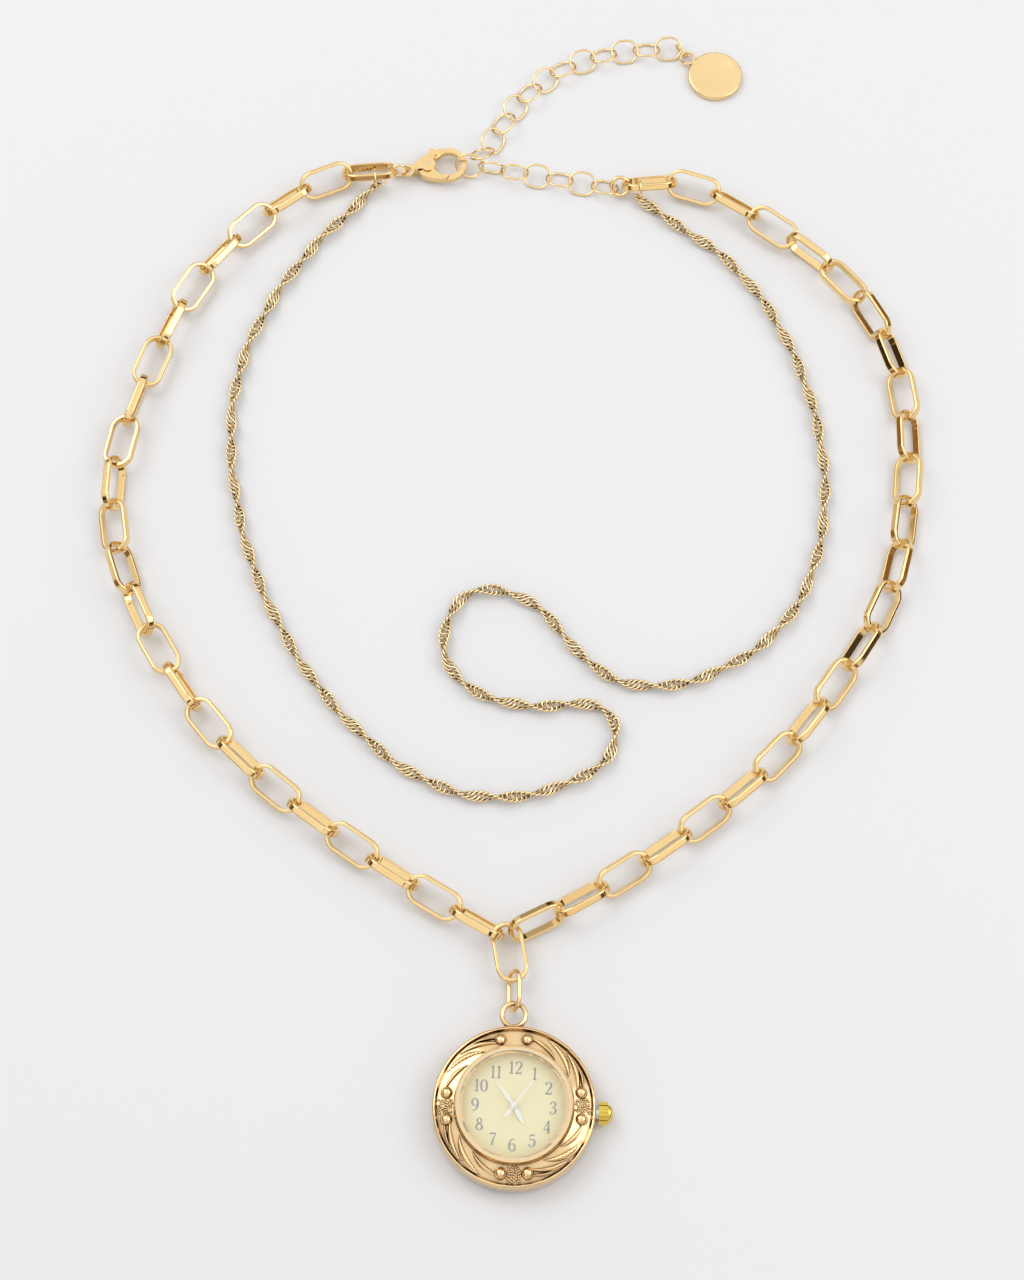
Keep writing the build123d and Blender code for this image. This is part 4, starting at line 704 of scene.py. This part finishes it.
# Hour numbers: each digit is printed as a few pen strokes. A stroke runs through points with
# a half width each (x, y, half width), in shares of the digit's height.
ink, tree, shader = new_material("printed_ink_grey_lilac", "#A29CA4", 0.55)
number_height = 0.002
number_radius = 0.0064
number_gap = 0.1
pen_weight = 1.3
print_thickness = 0.000012
dial_turn = math.radians(-2.7)
six_bowl = [
    (0.46, 0.93, 0.045), (0.34, 1.0, 0.025), (0.16, 0.86, 0.05), (0.06, 0.56, 0.07),
    (0.06, 0.26, 0.07), (0.16, 0.05, 0.045), (0.30, 0.0, 0.03), (0.46, 0.10, 0.055),
    (0.52, 0.30, 0.065), (0.46, 0.52, 0.05), (0.30, 0.60, 0.028), (0.13, 0.48, 0.02),
]
digit_strokes = {
    "0": [[
        (0.28, 1.0, 0.025), (0.10, 0.84, 0.055), (0.04, 0.5, 0.075), (0.10, 0.16, 0.055),
        (0.28, 0.0, 0.025), (0.46, 0.16, 0.055), (0.52, 0.5, 0.075), (0.46, 0.84, 0.055),
        (0.28, 1.0, 0.025),
    ]],
    "1": [
        [(0.20, 0.0, 0.06), (0.20, 1.0, 0.06)],
        [(0.20, 0.98, 0.035), (0.03, 0.84, 0.02)],
        [(0.03, 0.02, 0.025), (0.37, 0.02, 0.025)],
    ],
    "2": [
        [
            (0.06, 0.76, 0.065), (0.12, 0.93, 0.045), (0.30, 1.0, 0.03), (0.47, 0.89, 0.06),
            (0.49, 0.69, 0.075), (0.36, 0.44, 0.055), (0.18, 0.20, 0.03), (0.05, 0.05, 0.025),
        ],
        [(0.04, 0.05, 0.05), (0.50, 0.05, 0.06), (0.55, 0.24, 0.02)],
    ],
    "3": [
        [
            (0.08, 0.80, 0.06), (0.15, 0.95, 0.035), (0.30, 1.0, 0.03), (0.45, 0.90, 0.06),
            (0.45, 0.70, 0.06), (0.34, 0.56, 0.028), (0.20, 0.53, 0.02),
        ],
        [
            (0.20, 0.53, 0.02), (0.40, 0.49, 0.035), (0.51, 0.32, 0.07), (0.46, 0.10, 0.055),
            (0.28, 0.0, 0.03), (0.12, 0.04, 0.035), (0.06, 0.20, 0.06),
        ],
    ],
    "4": [
        [(0.40, 1.0, 0.025), (0.03, 0.28, 0.025)],
        [(0.02, 0.27, 0.032), (0.56, 0.27, 0.032)],
        [(0.41, 0.0, 0.06), (0.41, 1.0, 0.06)],
        [(0.26, 0.02, 0.022), (0.56, 0.02, 0.022)],
    ],
    "5": [
        [(0.12, 0.95, 0.05), (0.50, 0.96, 0.055)],
        [(0.13, 0.95, 0.022), (0.09, 0.52, 0.022)],
        [
            (0.09, 0.52, 0.022), (0.28, 0.62, 0.03), (0.46, 0.52, 0.06), (0.51, 0.31, 0.075),
            (0.42, 0.08, 0.05), (0.24, 0.0, 0.03), (0.09, 0.05, 0.04), (0.06, 0.19, 0.06),
        ],
    ],
    "6": [six_bowl],
    "7": [
        [(0.05, 0.78, 0.02), (0.07, 0.95, 0.03)],
        [(0.05, 0.95, 0.05), (0.52, 0.95, 0.05)],
        [(0.51, 0.94, 0.025), (0.36, 0.62, 0.045), (0.26, 0.32, 0.065), (0.24, 0.0, 0.07)],
    ],
    "8": [
        [
            (0.28, 0.55, 0.03), (0.13, 0.66, 0.055), (0.12, 0.87, 0.055), (0.28, 1.0, 0.025),
            (0.43, 0.87, 0.05), (0.43, 0.68, 0.05), (0.28, 0.55, 0.03),
        ],
        [
            (0.28, 0.55, 0.03), (0.08, 0.40, 0.06), (0.07, 0.14, 0.065), (0.28, 0.0, 0.03),
            (0.49, 0.14, 0.065), (0.49, 0.38, 0.06), (0.28, 0.55, 0.03),
        ],
    ],
    "9": [[(0.56 - x, 1 - y, half) for x, y, half in six_bowl]],
}
bend_steps = 6


def smooth_stroke(points):
    """A pen stroke drawn smoothly through its points, each with a half width."""
    if len(points) < 4:
        return points
    ends = [points[0]] + points + [points[-1]]
    drawn = []
    for before, start, end, after in zip(ends, ends[1:], ends[2:], ends[3:]):
        for step in range(bend_steps):
            t = step / bend_steps
            drawn.append(
                tuple(
                    0.5
                    * (
                        2 * b
                        + (c - a) * t
                        + (2 * a - 5 * b + 4 * c - d) * t**2
                        + (3 * b - a - 3 * c + d) * t**3
                    )
                    for a, b, c, d in zip(before, start, end, after)
                )
            )
    return drawn + [points[-1]]


number_corners, number_faces = [], []
for hour in range(1, 13):
    widths = [
        max(x + half for stroke in digit_strokes[digit] for x, y, half in stroke)
        for digit in str(hour)
    ]
    left = -(sum(widths) + number_gap * (len(widths) - 1)) / 2
    angle = math.radians(90 - 30 * hour)
    middle = Vector((number_radius * math.cos(angle), number_radius * math.sin(angle), 0))
    for digit, width in zip(str(hour), widths):
        for stroke in digit_strokes[digit]:
            drawn = smooth_stroke(stroke)
            first = len(number_corners)
            for place, (x, y, half) in enumerate(drawn):
                back, ahead = drawn[max(place - 1, 0)], drawn[min(place + 1, len(drawn) - 1)]
                along = Vector((ahead[0] - back[0], ahead[1] - back[1])).normalized()
                for side in (-half * pen_weight, half * pen_weight):
                    spot = Vector((left + x - side * along.y, y - 0.5 + side * along.x, 0))
                    number_corners.append(middle + spot * number_height)
            for place in range(len(drawn) - 1):
                corner = first + 2 * place
                number_faces.append((corner, corner + 2, corner + 3, corner + 1))
        left += width + number_gap
number_mesh = bpy.data.meshes.new("hour_numbers")
number_mesh.from_pydata(number_corners, [], number_faces)
number_mesh.transform(
    Matrix.Translation((0, 0, dial_top + print_thickness)) @ Matrix.Rotation(dial_turn, 4, "Z")
)
number_mesh.materials.append(ink)
hour_numbers = bpy.data.objects.new("hour_numbers", number_mesh)
scene.collection.objects.link(hour_numbers)
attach(hour_numbers, "watch")

# Hands: stamped strips lacquered white.
lacquer, tree, shader = new_material("white_lacquer_hands", "#FBFAF6", 0.3)
coat(lacquer, "hour_hand", "minute_hand", "second_hand")


# Movement: a moulded plate and holder with a steel bridge, a coin cell, a wound copper
# coil, a soft iron stator with its magnet rotor, a small circuit board and a train of wheels.
def moulded(name, colour, roughness, grain):
    """Moulded plastic or laminate with a fine mottle."""
    material, tree, shader = new_material(name, colour, roughness)
    place = add_node(tree, "ShaderNodeTexCoord")
    mottle = add_node(
        tree,
        "ShaderNodeTexNoise",
        {"Scale": 1 / grain, "Detail": 2.0},
        {"Vector": place.outputs["Object"]},
    )
    relief = add_node(
        tree,
        "ShaderNodeBump",
        {"Strength": 0.2, "Distance": 0.00003},
        {"Height": mottle.outputs["Fac"]},
    )
    tree.links.new(relief.outputs[0], shader.inputs["Normal"])
    return material


coat(moulded("acetal_moulded_grey", "#8F9092", 0.5, 0.0005), "movement_holder", "movement_plate")
coat(moulded("acetal_wheels_white", "#D9D9D4", 0.45, 0.0005), "intermediate_wheel", "third_wheel")
coat(moulded("circuit_laminate_green", "#2F5B38", 0.5, 0.0004), "circuit_board")
coat(moulded("sintered_magnet_dark", "#4A4A4C", 0.5, 0.0003), "rotor")
coat(plain_steel("stamped_steel_bridge", "#C2C2C0", 0.3, 0.0005), "movement_bridge", "battery_cell")
coat(plain_steel("soft_iron_stator", "#98989A", 0.4, 0.0004), "stator")
coat(plated_brass("enamelled_copper_winding", "#C4713A", "#9E5426", 0.3, 0.0003, 0.3), "coil")
wheel_brass = plated_brass("cut_brass_wheels", "#D8B765", "#BE9A4A", 0.25, 0.0005, 0.1)
coat(wheel_brass, "hour_wheel", "centre_wheel", "second_wheel", "minute_wheel")
